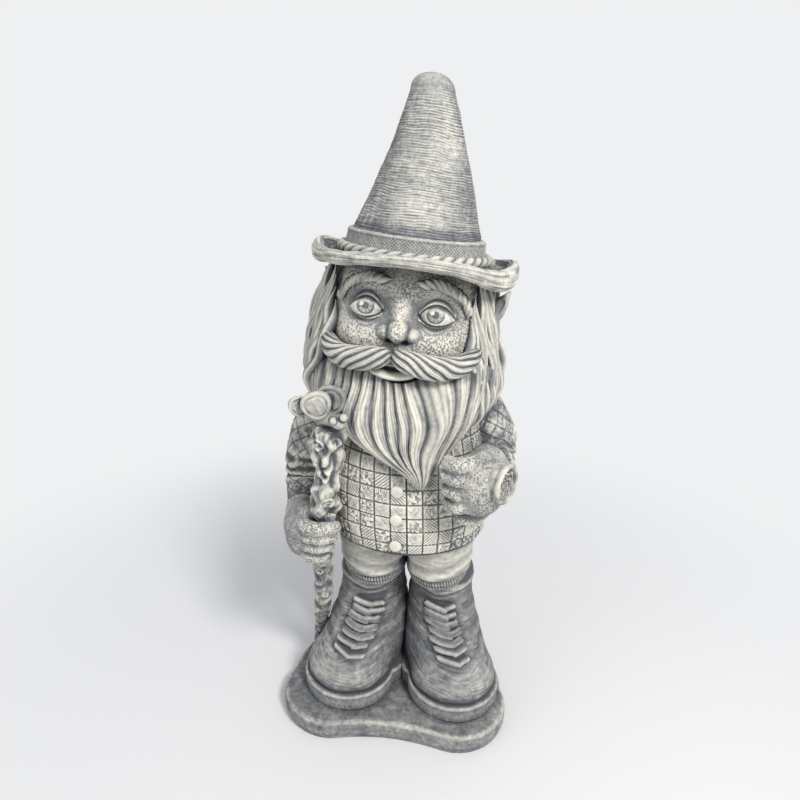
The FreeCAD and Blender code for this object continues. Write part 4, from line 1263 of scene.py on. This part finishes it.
def make_moustache():
    """Thick twisted strands from under the nose outwards and down, curling up at the ends."""
    left = curve(MOUSTACHE, n_of(190))
    right = left[::-1] * np.array([-0.95, 1, 1, 1])
    right[:, 2] -= 5.0 * (right[:, 0] / 74) ** 2
    rows = np.concatenate([right[:-1], left])
    grid, angle = tube_grid(rows[:, :3], rows[:, 3], (0, 0, 1), n_of(150))
    along = np.abs(rows[:, 0])[:, None]
    # the angle from the top, down over the front
    _, second = path_frames(rows[:, :3], (0, 0, 1))
    down = np.where(second[:, 1:2] < 0, 1, -1) * signed(angle)
    phase = along / 12.5 - 4.1 * down / math.pi + 0.42 * noise(grid, 17, 111)
    locks = ridged(phase, 0.60)
    fine = ridged(phase * 3.5 + 0.3 + 0.5 * noise(grid, 9, 113), 0.9)
    scale = np.clip(rows[:, 3:] / 10, 0.35, 1)
    detail = (2.7 * locks + 0.5 * fine) * scale + 0.2 * noise(grid, 2.2, 112)
    relief = np.clip(-0.06 + 0.76 * locks**1.6 + 0.32 * (fine - 0.5), 0, 1)
    centre = bump(along, 2.5)
    detail = detail * (1 - centre)
    relief = relief * (1 - 0.8 * centre)
    loft_piece("moustache", grid, detail - 1.4 * scale, relief, on_head)


BEARD_TOP = 452.0
BEARD = (  # z, middle x, middle y, half width, half depth
    (326.0, 25, -87, 3, 5),
    (329.0, 24.5, -86, 6.5, 9),
    (335.0, 22.5, -80, 13, 16),
    (343.0, 18, -70, 23, 25),
    (352.0, 11, -59, 37, 36),
    (363.0, 4, -48, 54, 46),
    (376.0, 0, -41, 71, 53),
    (390.0, -2, -37, 84, 57),
    (406.0, -3, -33, 92, 60),
    (420.0, -2, -30, 95, 60),
    (434.0, -1, -28, 94, 58),
    (446.0, 0, -26, 88, 55),
    (BEARD_TOP, 0, -25, 78, 50),
)


def make_beard():
    """Bold curling locks that run from the cheeks and the chin down to one swept tip."""
    low = box("beard")[0][2]
    z = np.concatenate([np.linspace(low - 0.5, 350, n_of(60)), np.linspace(350.6, BEARD_TOP, n_of(150))])
    x, y, half_x, half_y = (smoothed(values, 5 * FINE) for values in read_off(BEARD, z))
    angle = front_angles(n_of(440), 0.55)
    grid = ring_points(angle, x, y, z, half_x, half_y)
    t = np.clip((BEARD_TOP - grid[..., 2]) / (BEARD_TOP - low), 0, 1)
    # each lock bows outwards and back again on its way down
    bow = (0.21 * np.sin(t * 4.4 + 0.4) + 0.06 * np.sin(t * 8.0)) * np.tanh(angle * 2.0)
    bow = bow + 0.08 * np.sin(t * 6.8 + angle * 3.4 + 0.4)
    flow = angle + bow + 0.09 * noise(grid, (46, 46, 52), 125)
    phase = flow * 4.4 + 0.8 * np.sin(flow * 2.3 + 1.0) + 0.3 * np.sin(flow * 7.1) + 0.5
    deep = ridged(phase, 1.0)
    locks = deep**0.6
    second = ridged(phase * 2 + 0.3 + 0.5 * np.sin(t * 5 + flow * 4), 0.7)
    fine = ridged(phase * 5 + 0.9 * noise(grid, (24, 24, 60), 122) + 0.4 * np.sin(t * 6), 1.0)
    lean = 0.8 * np.sin(2 * np.pi * phase)
    scale = np.clip(half_x / 60, 0.12, 1)[:, None]
    detail = scale * (4.8 * locks + 1.5 * second + 0.5 * fine + lean) + 0.15 * noise(grid, 2, 123)
    relief = -0.04 + 0.50 * deep**0.9 + 0.22 * second + 0.34 * (fine - 0.35)
    relief = relief + 0.10 * noise(grid, (20, 20, 40), 124)
    from_mouth = np.hypot((grid[..., 0] - 1) / 21.0, (grid[..., 2] - 446) / 12.5)
    mouth = step(1.14, 0.92, from_mouth) * (np.abs(angle) < 1.2)
    relief = relief - 0.10 * mouth
    detail = detail - 15 * mouth
    loft_piece("beard", grid, detail - 4.6 * scale, np.clip(relief, 0, 1))


HAIR = (  # z in the head's frame, half width, forward, backward
    (362, 30, 10, 40),
    (370, 58, 22, 68),
    (382, 78, 34, 82),
    (396, 92, 44, 88),
    (412, 100, 50, 90),
    (430, 102, 54, 90),
    (450, 99, 56, 90),
    (475, 94, 55, 88),
    (500, 89, 52, 84),
    (520, 86, 50, 80),
    (540, 84, 48, 76),
)


def make_hair():
    """Long hair over the back of the head, and beside the face down to the beard."""
    z = np.linspace(HAIR[0][0], HAIR[-1][0] + 1, n_of(210))
    half_x, fore, aft = read_off(HAIR, z)
    angle = front_angles(n_of(470), 0.15)
    around = np.broadcast_to(angle, (len(z), len(angle)))
    away = np.abs(around)
    grid = np.empty((len(z), len(angle), 3))
    depth = np.where(away < math.pi / 2, fore[:, None], aft[:, None])
    grid[..., 0] = half_x[:, None] * np.sign(np.sin(around)) * np.abs(np.sin(around)) ** 0.9
    grid[..., 1] = 6 - depth * np.cos(around)
    grid[..., 2] = z[:, None]
    # the face stays open between the two sides
    open_face = step(0.98, 0.86, away) * step(425, 436, grid[..., 2])
    centre = np.stack([grid[..., 0] * 0, grid[..., 1] * 0 + 10, grid[..., 2]], -1)
    grid = grid + (centre - grid) * (0.52 * open_face)[..., None]
    fall = (grid[..., 2] - 470) / 100
    flow = away + 0.30 * fall * step(2.2, 1.2, away) + 0.07 * np.sin(grid[..., 2] * 0.045 + away * 4)
    flow = flow + 0.05 * noise(grid, (50, 50, 60), 131)
    phase = flow * 5.6 + 0.3 * np.sin(flow * 4)
    locks = ridged(phase, 0.8)
    second = ridged(phase * 2 + 0.2 + 0.2 * np.sin(grid[..., 2] * 0.09), 1.0)
    fine = ridged(phase * 5 + 0.6 * noise(grid, (30, 30, 50), 132), 1.0)
    detail = 3.8 * locks + 1.1 * second * locks + 0.45 * fine + 0.15 * noise(grid, 2, 133)
    relief = 0.44 * locks**1.8 + 0.20 * second + 0.32 * (fine - 0.35) - 0.25 * open_face
    edge = step(0.97, 1.05, away)
    detail = detail * (0.15 + 0.85 * np.maximum(edge, step(436, 425, grid[..., 2])))
    loft_piece("hair", grid, detail - 2.2, np.clip(relief, 0, 1), on_head)


def make_side_locks():
    """Thick locks at the sides of the face, from under the brim down over the ends of the beard."""
    bundle = Bundle()
    for _, s in SIDES:
        for i in range(7):
            k = i / 6
            wave = 2.6 * math.sin(i * 2.1 + s)
            narrow = 7 if s > 0 else 4 - 6 * k
            top = 496 + 44 * min(1, 1.6 * k)
            drop = top - 388
            stations = (
                (72 + 4 * k - narrow, -48 + 20 * k, top),
                (74 + 9 * k - narrow + wave, -51 + 30 * k, top - 0.16 * drop),
                (77 + 16 * k - 0.8 * narrow - wave, -53 + 38 * k, top - 0.36 * drop),
                (84 + 18 * k - 0.5 * narrow + wave, -51 + 43 * k, top - 0.56 * drop),
                (89 + 14 * k - wave, -49 + 44 * k, top - 0.75 * drop),
                (88 + 11 * k + 0.6 * wave, -49 + 44 * k, top - 0.90 * drop),
                (82 + 7 * k, -52 + 44 * k, 384 + wave),
            )
            path = curve(stations, n_of(64)) * np.array([s, 1, 1])
            way = (s * (0.45 + 0.5 * k), -0.8 + 0.4 * k, 0)
            lock = {"height": 11.0, "taper": (0.22, 0.30), "grooves": 2.5, "count": 28, "dark": -0.35}
            strand(bundle, path, 10.5 + 1.5 * (i % 2), **lock, seam=way, seed=i)
    bundle.piece("hair_side_locks", on_head, ["hair"])


def ear_relief(p):
    return 0.60 + 0.25 * noise(p, 5, 139)


def make_ears():
    """Small ears with a pointed tip and a hollow in front, between the hair and the brim."""
    for side, s in SIDES:

        def field(p, s=s):
            q = (p - NECK - HEAD_SHIFT) @ HEAD_TURN + NECK
            q = q - np.array([6.0, 0, 0]) * (s < 0)
            a, b = np.array([s * 84.0, 0, 488]), np.array([s * 93.0, -2, 508])
            d = egg(q, (a + b) / 2, (8.5, 6.5, 14.5), rot_y(s * 22))
            d = join(d, rod(q, b, (s * 99.0, -1, 519), 5.0, 1.6), 5)
            dent = egg(q, (s * 91.5, -9, 504), (3.4, 5.5, 10), rot_y(s * 24))
            return np.maximum(d, -dent)

        name = f"{side}_ear"
        low, high = box(name)
        field_piece(name, field, low - 14, high + 14, cell=0.8, relief=ear_relief)


# The hat, in the head's frame

BRIM_Z, BRIM_THICK, BAND_TALL, CROWN_R, TIP_R = 537.0, 6.0, 21.0, 65.0, 21.0
BAND_FOOT = BRIM_Z + BRIM_THICK


def make_crown():
    """A tall cone with a round tip, brushed round and round."""
    foot = BAND_FOOT + BAND_TALL
    top = 709.0
    shares = np.linspace(0, 1, n_of(250))
    tip_start = top - TIP_R * 0.72
    z = foot + shares * (tip_start - foot)
    radius = CROWN_R * (1 - shares - 0.014 * np.sin(math.pi * shares)) + TIP_R * shares
    a = np.linspace(0.06, math.pi / 2 - 0.04, n_of(40))
    cap_r = radius[-1] * np.cos(a) ** 0.9
    cap_z = tip_start + (top - tip_start) * np.sin(a)
    z = np.concatenate([[foot - 2], z, cap_z])
    radius = np.concatenate([[radius[0] - 1], radius, cap_r])
    rise = np.clip((z - foot) / (top - foot), 0, 1)
    x = -2 - 2 * rise + 3 * np.sin(math.pi * rise)
    angle = front_angles(n_of(330), 0.45)
    grid = ring_points(angle, x, z * 0, z, radius, radius)
    height = grid[..., 2]
    drift = 2.4 * noise(grid, (28, 28, 40), 141) + 0.9 * noise(grid, (12, 12, 14), 142)
    ribs = np.sin(TAU * (height + drift) / 2.35)
    strength = 0.5 + 0.5 * noise(grid, (26, 26, 9), 143)
    near_tip = step(top - 4, top - 30, height)
    detail = (0.06 + 0.24 * strength) * ribs * near_tip
    lines = noise(grid, (13, 13, 1.15), 144)
    detail += 0.36 * lines * near_tip + 0.9 * layered(grid, 34, 145) + 0.16 * noise(grid, 2, 146)
    detail += 0.22 * noise(grid, (3, 3, 22), 147) * step(0, 0.4, noise(grid, 40, 148))
    detail += 1.0 * np.sin(angle * 3 + 1) * bump(height - foot, 60)
    relief = 0.47 + 0.78 * (relief_of(detail, (1.6, 2.5), 0.55) - 0.5)
    relief = relief + 0.10 * noise(grid, (26, 26, 50), 149)
    relief = relief - 0.30 * bump(height - foot, 1.8) - 0.12 * step(0.55, 1.3, np.abs(angle))
    loft_piece("hat_crown", grid, detail, np.clip(relief, 0, 1), on_head)


def make_band():
    """A band with a fine crossed hatch and a plain rounded top edge."""
    tall = BAND_TALL - 1.6
    z = np.linspace(BAND_FOOT, BAND_FOOT + tall, n_of(54))
    z = np.concatenate([[BAND_FOOT - 2], z, BAND_FOOT + tall + np.array([0.5, 1.0, 1.4, 1.6])])
    radius = 71.5 - 3.0 * np.clip((z - BAND_FOOT) / BAND_TALL, 0, 1)
    radius[-4:] -= np.array([0.2, 0.6, 1.2, 2.4])
    angle = front_angles(n_of(720), 0.5)
    grid = ring_points(angle, -2 + z * 0, z * 0, z, radius, radius)
    around, height = angle * 70, grid[..., 2]
    wobble = 0.6 * noise(grid, 14, 151)
    a = ridged((around * 0.8 + height + wobble) / 2.9, 0.5)
    b = ridged((around * 0.8 - height - wobble) / 2.9, 0.5)
    choice = noise(grid, (16, 16, 9), 152)
    weave = np.where(choice > 0.30, a, np.minimum(a, b))
    below_edge = step(BAND_FOOT + BAND_TALL - 1.0, BAND_FOOT + BAND_TALL - 2.6, height)
    detail = (0.7 * weave) * below_edge + 0.2 * noise(grid, 2, 153) + 1.1 * (1 - below_edge)
    relief = 0.68 + 0.75 * (relief_of(detail, (2, 2), 0.6) - 0.5)
    loft_piece("hat_band", grid, detail, np.clip(relief, 0, 1), on_head)


def brim_wave(angle):
    """How much the brim rises, how much further it reaches and how thick its rolled edge is, all round."""
    d = np.degrees(angle)
    front = d + 8
    rise = -8.5 * np.sin(angle) ** 2
    rise = rise - 5.0 * bump(d - 62, 24) + 1.5 * bump(d + 92, 14) + 2.5 * bump(d - 100, 18)
    rise = rise + 1.2 * np.sin(3 * angle + 0.6) + 3.5 * bump(front, 50)
    rise = rise - 7.0 * bump(np.abs(d) - 140, 28)
    reach = 1.5 * bump(d - 95, 25) + 1.5 * bump(d + 95, 25)
    thick = 0.95 - 0.38 * bump(front, 48) + 0.38 * bump(d - 82, 30) + 0.30 * bump(d + 88, 24)
    return rise, reach, thick


BRIM_SECTION = (  # distance in from the outer edge, height over the brim's underside, share of the wave
    (70, 3.5, 0.0),
    (40, 2.0, 0.15),
    (24, 0.5, 0.5),
    (13, -0.6, 0.85),
    (6.5, -0.4, 1.0),
    (2.2, 1.6, 1.0),
    (0.2, 5.5, 1.0),
    (0.0, 9.5, 1.0),
    (0.8, 13.2, 1.0),
    (3.0, 15.8, 1.0),
    (6.0, 16.8, 1.0),
    (8.8, 15.6, 1.0),
    (11.5, 12.6, 0.95),
    (15.5, 9.0, 0.8),
    (22, 7.2, 0.4),
    (32, 6.6, 0.1),
    (50, 6.2, 0.0),
    (80, 6.2, 0.0),
)


def make_brim():
    """A drooping brim with a thick rolled edge."""
    rows = curve(BRIM_SECTION, n_of(190))
    angle = front_angles(n_of(500), 0.45)
    rise, reach, thick = brim_wave(angle)
    radius = 104.0 + reach[None] - rows[:, :1] * (0.9 + 0.1 * thick[None])
    share = rows[:, 2:3]
    z = BRIM_Z + rows[:, 1:2] * (1 + (thick[None] - 1) * share) + rise[None] * share
    grid = np.empty((len(rows), len(angle), 3))
    grid[..., 0] = radius * np.sin(angle)[None] - 1
    grid[..., 1] = -radius * np.cos(angle)[None]
    grid[..., 2] = z
    around = np.broadcast_to(angle, grid.shape[:2]) * 100
    across = lengths_along(rows[:, :2]) + 0 * around
    q = np.stack([around, across, 0 * around], -1)
    detail = 0.55 * noise(q, (34, 1.7, 1), 161) + 0.40 * noise(q, (18, 3.5, 1), 162)
    detail = detail + 0.8 * layered(q, 30, 163) + 0.12 * noise(grid, 2, 164)
    relief = 0.48 + 0.95 * (relief_of(detail, (2, 3), 0.6) - 0.5)
    face = step(14, 6, rows[:, :1])
    relief = relief + 0.08 * face - 0.14 * (1 - face)
    loft_piece("hat_brim", grid, detail, np.clip(relief, 0, 1), on_head)


def make_cord():
    """Two strands twisted into a cord round the band."""
    radius = 74.5
    a = np.linspace(0, TAU, n_of(900), endpoint=False)
    centre = np.stack([-2 + radius * np.sin(a), -radius * np.cos(a), BAND_FOOT + 4.0 + 0 * a], -1)
    out = np.stack([np.sin(a), -np.cos(a), 0 * a], -1)
    up = np.broadcast_to([0, 0, 1.0], out.shape)
    turn = np.linspace(0, TAU, n_of(44), endpoint=False)
    twist = turn[None] - a[:, None] * 19
    r = 3.3 + 1.6 * np.abs(np.cos(twist)) ** 0.8
    grid = centre[:, None] + circle(out, up, turn) * r[..., None]
    relief = np.clip(0.20 + 0.75 * np.abs(np.cos(twist)) ** 0.5, 0, 1)
    n, m = len(a), len(turn)
    i, j = np.meshgrid(np.arange(n), np.arange(m), indexing="ij")
    here, ahead = i * m, (i + 1) % n * m
    beside = (j + 1) % m
    quads = np.stack([here + j, ahead + j, ahead + beside, here + beside], -1).reshape(-1, 4)
    build_mesh("hat_cord", on_head(grid.reshape(-1, 3)), quads.tolist(), relief.reshape(-1))


def make_rods():
    """The steel bars inside, with low ribs. They can't be seen."""
    rod_r, count = 4.0, 160
    for node in ("right_leg_rod", "left_leg_rod", "spine_rod"):
        if node == "spine_rod":
            ends = on_head(np.array([[0, 0, 330.0], [0, 0, 650.0]]))
        else:
            low, high = box(node)
            x, y, _ = middle(node)
            ends = np.array([[x, y, low[2]], [x, y, high[2]]])
        path = ends[0] + (ends[1] - ends[0]) * np.linspace(0, 1, count)[:, None]
        grid, angle = tube_grid(path, rod_r, (0, -1, 0), 32)
        along = np.arange(count)[:, None] * 2.0
        ribs = 0.35 * ridged(along / 9 + angle[None] / TAU, 0.3) - 0.35
        loft_piece(node, grid, ribs, ribs * 0 + 0.5)


for maker in (make_base, make_shirt, make_buttons, make_hands, make_staff, make_butterfly, make_spyglass):
    maker()
for maker in (make_face, make_brows, make_moustache, make_beard, make_hair, make_side_locks, make_ears):
    maker()
for maker in (make_crown, make_band, make_brim, make_cord, make_rods):
    maker()
for side, sign in SIDES:
    make_boot(side, sign)
    make_leg(side, sign)
    make_sleeve(side, sign)


def mark_hollows(cell=3.5, spread=7.0):
    """Writes how crowded each point's surroundings are: 1 on a flat face, more in a corner, less on an edge.
    The material darkens the crowded points as painted shade.

    cell is the size of the grid that the surface's area is summed in, and spread the blur over it, in mm.
    """
    clouds, areas = [], []
    for obj, _ in made:
        mesh = obj.data
        n = len(mesh.vertices)
        co = np.empty(n * 3)
        mesh.vertices.foreach_get("co", co)
        co = co.reshape(-1, 3) * 1000
        face_area = np.empty(len(mesh.polygons))
        mesh.polygons.foreach_get("area", face_area)
        totals = np.empty(len(mesh.polygons), int)
        mesh.polygons.foreach_get("loop_total", totals)
        loops = np.empty(len(mesh.loops), int)
        mesh.loops.foreach_get("vertex_index", loops)
        per_loop = np.repeat(face_area / totals, totals)
        clouds.append(co)
        areas.append(np.bincount(loops, weights=per_loop * 1e6, minlength=n))
    low = np.min([c.min(0) for c in clouds], 0) - 30
    high = np.max([c.max(0) for c in clouds], 0) + 30
    shape = np.ceil((high - low) / cell).astype(int)
    total = np.zeros(shape)
    for (obj, _), co, area in zip(made, clouds, areas):
        if "rod" in obj.name:
            continue
        i = ((co - low) / cell).astype(int)
        np.add.at(total, (i[:, 0], i[:, 1], i[:, 2]), area)
    total /= cell**3
    # blur the area in each cell, and scale it so that a flat surface gives 1
    fx, fy, fz = np.fft.fftfreq(shape[0]), np.fft.fftfreq(shape[1]), np.fft.rfftfreq(shape[2])
    square = fx[:, None, None] ** 2 + fy[None, :, None] ** 2 + fz[None, None, :] ** 2
    s = spread / cell
    kernel = np.exp(-2 * np.pi**2 * s * s * square)
    smooth = np.fft.irfftn(np.fft.rfftn(total) * kernel, s=tuple(shape))
    smooth *= math.sqrt(TAU) * spread
    for (obj, _), co in zip(made, clouds):
        q = (co - low) / cell - 0.5
        i = np.clip(np.floor(q).astype(int), 0, shape - 2)
        value = 0
        for o, weight in cell_corners(q - i):
            value = value + weight * smooth[i[:, 0] + o[0], i[:, 1] + o[1], i[:, 2] + o[2]]
        attribute = obj.data.attributes.new("crowd", "FLOAT", "POINT")
        attribute.data.foreach_set("value", value.astype(np.float32))


mark_hollows()


# Materials


def node_maker(tree):
    """A function that adds a node to a tree. Its inputs take values, or the outputs of other nodes."""

    def add(kind, inputs=None, **settings):
        node = tree.nodes.new(kind)
        for key, value in settings.items():
            setattr(node, key, value)
        for key, value in (inputs or {}).items():
            if isinstance(value, bpy.types.NodeSocket):
                tree.links.new(value, node.inputs[key])
            else:
                node.inputs[key].default_value = value
        return node

    return add


def blank_material(name):
    """A material without nodes, and the function that adds them."""
    material = bpy.data.materials.new(name)
    material.use_nodes = True
    material.node_tree.nodes.clear()
    return material, node_maker(material.node_tree)


def stone_material():
    """Cast stone with a dark wash left in the hollows, painted shade in corners and where parts meet, and a
    cream colour brushed over what stands out.
    """
    material, add = blank_material("antiqued_cast_stone")

    def math_node(operation, a, b=0.0, c=0.0):
        return add("ShaderNodeMath", {0: a, 1: b, 2: c}, operation=operation).outputs[0]

    def ramp(value, low, high):
        inputs = {0: value, 1: low, 2: high}
        return add("ShaderNodeMapRange", inputs, interpolation_type="SMOOTHSTEP").outputs[0]

    def grain(scale, detail=3.0, roughness=0.6):
        inputs = {"Vector": place, "Scale": scale, "Detail": detail, "Roughness": roughness}
        return add("ShaderNodeTexNoise", inputs).outputs[0]

    def swayed(level, texture, amount):
        """A level with a texture added, as much above as below."""
        return math_node("MULTIPLY_ADD", math_node("SUBTRACT", texture, 0.5), amount, level)

    place = add("ShaderNodeTexCoord").outputs["Object"]
    relief = add("ShaderNodeAttribute", attribute_name="relief").outputs["Fac"]
    skin = add("ShaderNodeAttribute", attribute_name="skin").outputs["Fac"]
    crowd = add("ShaderNodeAttribute", attribute_name="crowd").outputs["Fac"]

    cloud = grain(22.0, 4.0)
    mottle = grain(160.0, 4.0, 0.65)
    sand = grain(900.0, 2.0)
    level = swayed(swayed(swayed(relief, cloud, 0.30), mottle, 0.50), sand, 0.16)
    # painted shade: darker where the surface is crowded, in corners, creases, under the brim and where parts
    # meet, partly the dark wash that pools there and partly shade; less deep on skin
    hollow = ramp(crowd, 1.25, 2.4)
    depth = math_node("MULTIPLY_ADD", skin, -0.22, 0.26)
    level = math_node("SUBTRACT", level, math_node("MULTIPLY", hollow, depth))
    edge = ramp(crowd, 0.95, 0.55)
    level = math_node("ADD", level, math_node("MULTIPLY", edge, 0.08))

    # the skin is stippled: small pits that keep the wash
    cells = {"Vector": place, "Scale": 480.0, "Randomness": 1.0}
    pits = add("ShaderNodeTexVoronoi", cells, feature="F1").outputs["Distance"]
    wander = ramp(grain(60.0, 2.0), 0.35, 0.62)
    size = math_node("MULTIPLY_ADD", wander, 0.20, 0.25)
    dots = ramp(pits, math_node("ADD", size, 0.14), size)
    dots = math_node("MULTIPLY", dots, skin)

    tones = add("ShaderNodeValToRGB", {"Fac": level})
    stops = (  # level and colour, from the wash to the brushed cream
        (0.00, (0.074, 0.079, 0.087)),
        (0.18, (0.124, 0.129, 0.136)),
        (0.36, (0.226, 0.228, 0.224)),
        (0.52, (0.353, 0.347, 0.320)),
        (0.70, (0.520, 0.503, 0.440)),
        (0.92, (0.685, 0.660, 0.575)),
    )
    while len(tones.color_ramp.elements) < len(stops):
        tones.color_ramp.elements.new(0.5)
    for element, (position, tone) in zip(tones.color_ramp.elements, stops):
        element.position = position
        element.color = (*tone, 1)
    wash = (0.125, 0.13, 0.14, 1)
    share = math_node("MULTIPLY", dots, 0.82)
    colour = add("ShaderNodeMix", {0: share, 6: tones.outputs[0], 7: wash}, data_type="RGBA").outputs[2]

    rough = math_node("MULTIPLY_ADD", mottle, 0.16, 0.76)
    height = math_node("MULTIPLY_ADD", sand, 0.35, math_node("MULTIPLY", mottle, 0.9))
    height = math_node("SUBTRACT", height, math_node("MULTIPLY", dots, 0.9))
    bumps = add("ShaderNodeBump", {"Height": height, "Strength": 0.55, "Distance": 0.0005}).outputs[0]
    surface = {"Base Color": colour, "Roughness": rough, "Normal": bumps, "Specular IOR Level": 0.28}
    add("ShaderNodeOutputMaterial", {0: add("ShaderNodeBsdfPrincipled", surface).outputs[0]})
    return material


def steel_material():
    """Bar steel with some rust."""
    material, add = blank_material("armature_steel")
    place = add("ShaderNodeTexCoord").outputs["Object"]
    rust = add("ShaderNodeTexNoise", {"Vector": place, "Scale": 120.0, "Detail": 5.0}).outputs[0]
    bare, rusty = (0.30, 0.29, 0.28, 1), (0.24, 0.13, 0.08, 1)
    colour = add("ShaderNodeMix", {0: rust, 6: bare, 7: rusty}, data_type="RGBA").outputs[2]
    rough = add("ShaderNodeMapRange", {0: rust, 3: 0.45, 4: 0.8}).outputs[0]
    bumps = add("ShaderNodeBump", {"Height": rust, "Strength": 0.3, "Distance": 0.0003}).outputs[0]
    surface = {"Base Color": colour, "Roughness": rough, "Metallic": 0.8, "Normal": bumps}
    add("ShaderNodeOutputMaterial", {0: add("ShaderNodeBsdfPrincipled", surface).outputs[0]})
    return material


stone, steel = stone_material(), steel_material()
for obj, nodes in made:
    is_rod = obj.name.endswith("_rod")
    obj.data.materials.append(steel if is_rod else stone)
    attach(obj, "root")
    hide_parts(*nodes)


# The stage: a pale floor and backdrop, soft light, and the camera


BACKDROP = (0.86, 0.87, 0.88, 1)


def seen_directly(add):
    """1 for the camera's own rays and those in reflections and glass, 0 for rays that carry light."""
    path = add("ShaderNodeLightPath").outputs
    seen = path["Is Camera Ray"]
    for ray in ("Is Glossy Ray", "Is Transmission Ray"):
        seen = add("ShaderNodeMath", {0: seen, 1: path[ray]}, operation="MAXIMUM").outputs[0]
    return seen


def floor_material():
    """A pale floor that keeps the object's shadow near it and runs out into the backdrop's colour."""
    material, add = blank_material("floor_paint")
    paint = add("ShaderNodeBsdfDiffuse", {"Color": (0.66, 0.66, 0.665, 1)})
    glow = add("ShaderNodeEmission", {"Color": BACKDROP, "Strength": 1.0})
    place = add("ShaderNodeTexCoord").outputs["Object"]
    away = add("ShaderNodeVectorMath", {0: place}, operation="LENGTH").outputs["Value"]
    near, far = 0.25, 0.9
    fade = add("ShaderNodeMapRange", {0: away, 1: near, 2: far}, interpolation_type="SMOOTHSTEP").outputs[0]
    share = add("ShaderNodeMath", {0: fade, 1: seen_directly(add)}, operation="MULTIPLY").outputs[0]
    both = add("ShaderNodeMixShader", {0: share, 1: paint.outputs[0], 2: glow.outputs[0]})
    add("ShaderNodeOutputMaterial", {0: both.outputs[0]})
    return material


mesh = bpy.data.meshes.new("floor")
FLOOR_HALF = 60  # metres
floor_corners = [(x * FLOOR_HALF, y * FLOOR_HALF, 0) for x, y in ((-1, -1), (1, -1), (1, 1), (-1, 1))]
mesh.from_pydata(floor_corners, [], [[0, 1, 2, 3]])
floor = bpy.data.objects.new("floor", mesh)
bpy.context.scene.collection.objects.link(floor)
mesh.materials.append(floor_material())


def soft_light(name, at, size, power, colour):
    """A square lamp that faces the middle of the statue."""
    towards = (0, 0, 0.35)
    data = bpy.data.lights.new(name, "AREA")
    data.size, data.energy, data.color = size, power, colour
    light = bpy.data.objects.new(name, data)
    light.location = at
    light.rotation_euler = (Vector(towards) - Vector(at)).to_track_quat("-Z", "Y").to_euler()
    bpy.context.scene.collection.objects.link(light)


soft_light("key", (0.95, -1.25, 1.75), size=0.5, power=44.0, colour=(1.0, 0.985, 0.96))
soft_light("fill", (-1.6, -1.2, 1.0), size=1.6, power=8.0, colour=(0.95, 0.97, 1.0))

world = bpy.data.worlds.new("studio")
world.use_nodes = True
world.node_tree.nodes.clear()
add_world = node_maker(world.node_tree)
light = add_world("ShaderNodeBackground", {"Color": (0.93, 0.95, 0.98, 1), "Strength": 0.72})
sky = add_world("ShaderNodeBackground", {"Color": BACKDROP, "Strength": 1.0})
rays = seen_directly(add_world)
either = add_world("ShaderNodeMixShader", {0: rays, 1: light.outputs[0], 2: sky.outputs[0]})
add_world("ShaderNodeOutputWorld", {0: either.outputs[0]})
bpy.context.scene.world = world
bpy.context.scene.view_settings.view_transform = "Standard"


def aim_camera(distance, height, azimuth, pitch, roll, yaw, shift):
    """A camera at a distance from the statue's axis and a height, in metres, turned in degrees.

    azimuth says where it stands, and yaw how far it looks past the axis. shift moves it along x.
    """
    az, a, p, r = (math.radians(v) for v in (azimuth, azimuth + yaw, pitch, roll))
    at = Vector((distance * math.sin(az) + shift, -distance * math.cos(az), height))
    forward = Vector((-math.sin(a) * math.cos(p), math.cos(a) * math.cos(p), -math.sin(p)))
    right = forward.cross(Vector((0, 0, 1))).normalized()
    up = right.cross(forward)
    x = right * math.cos(r) - up * math.sin(r)
    y = up * math.cos(r) + right * math.sin(r)
    data = bpy.data.cameras.new("camera")
    data.lens, data.sensor_width = 26.73, 36.0
    camera = bpy.data.objects.new("camera", data)
    matrix = Matrix((x, y, -forward)).transposed().to_4x4()
    matrix.translation = at
    camera.matrix_world = matrix
    bpy.context.scene.collection.objects.link(camera)
    bpy.context.scene.camera = camera


aim_camera(distance=0.62, height=0.60, azimuth=5.0, pitch=19.0, roll=-1.5, yaw=1.0, shift=0.004)
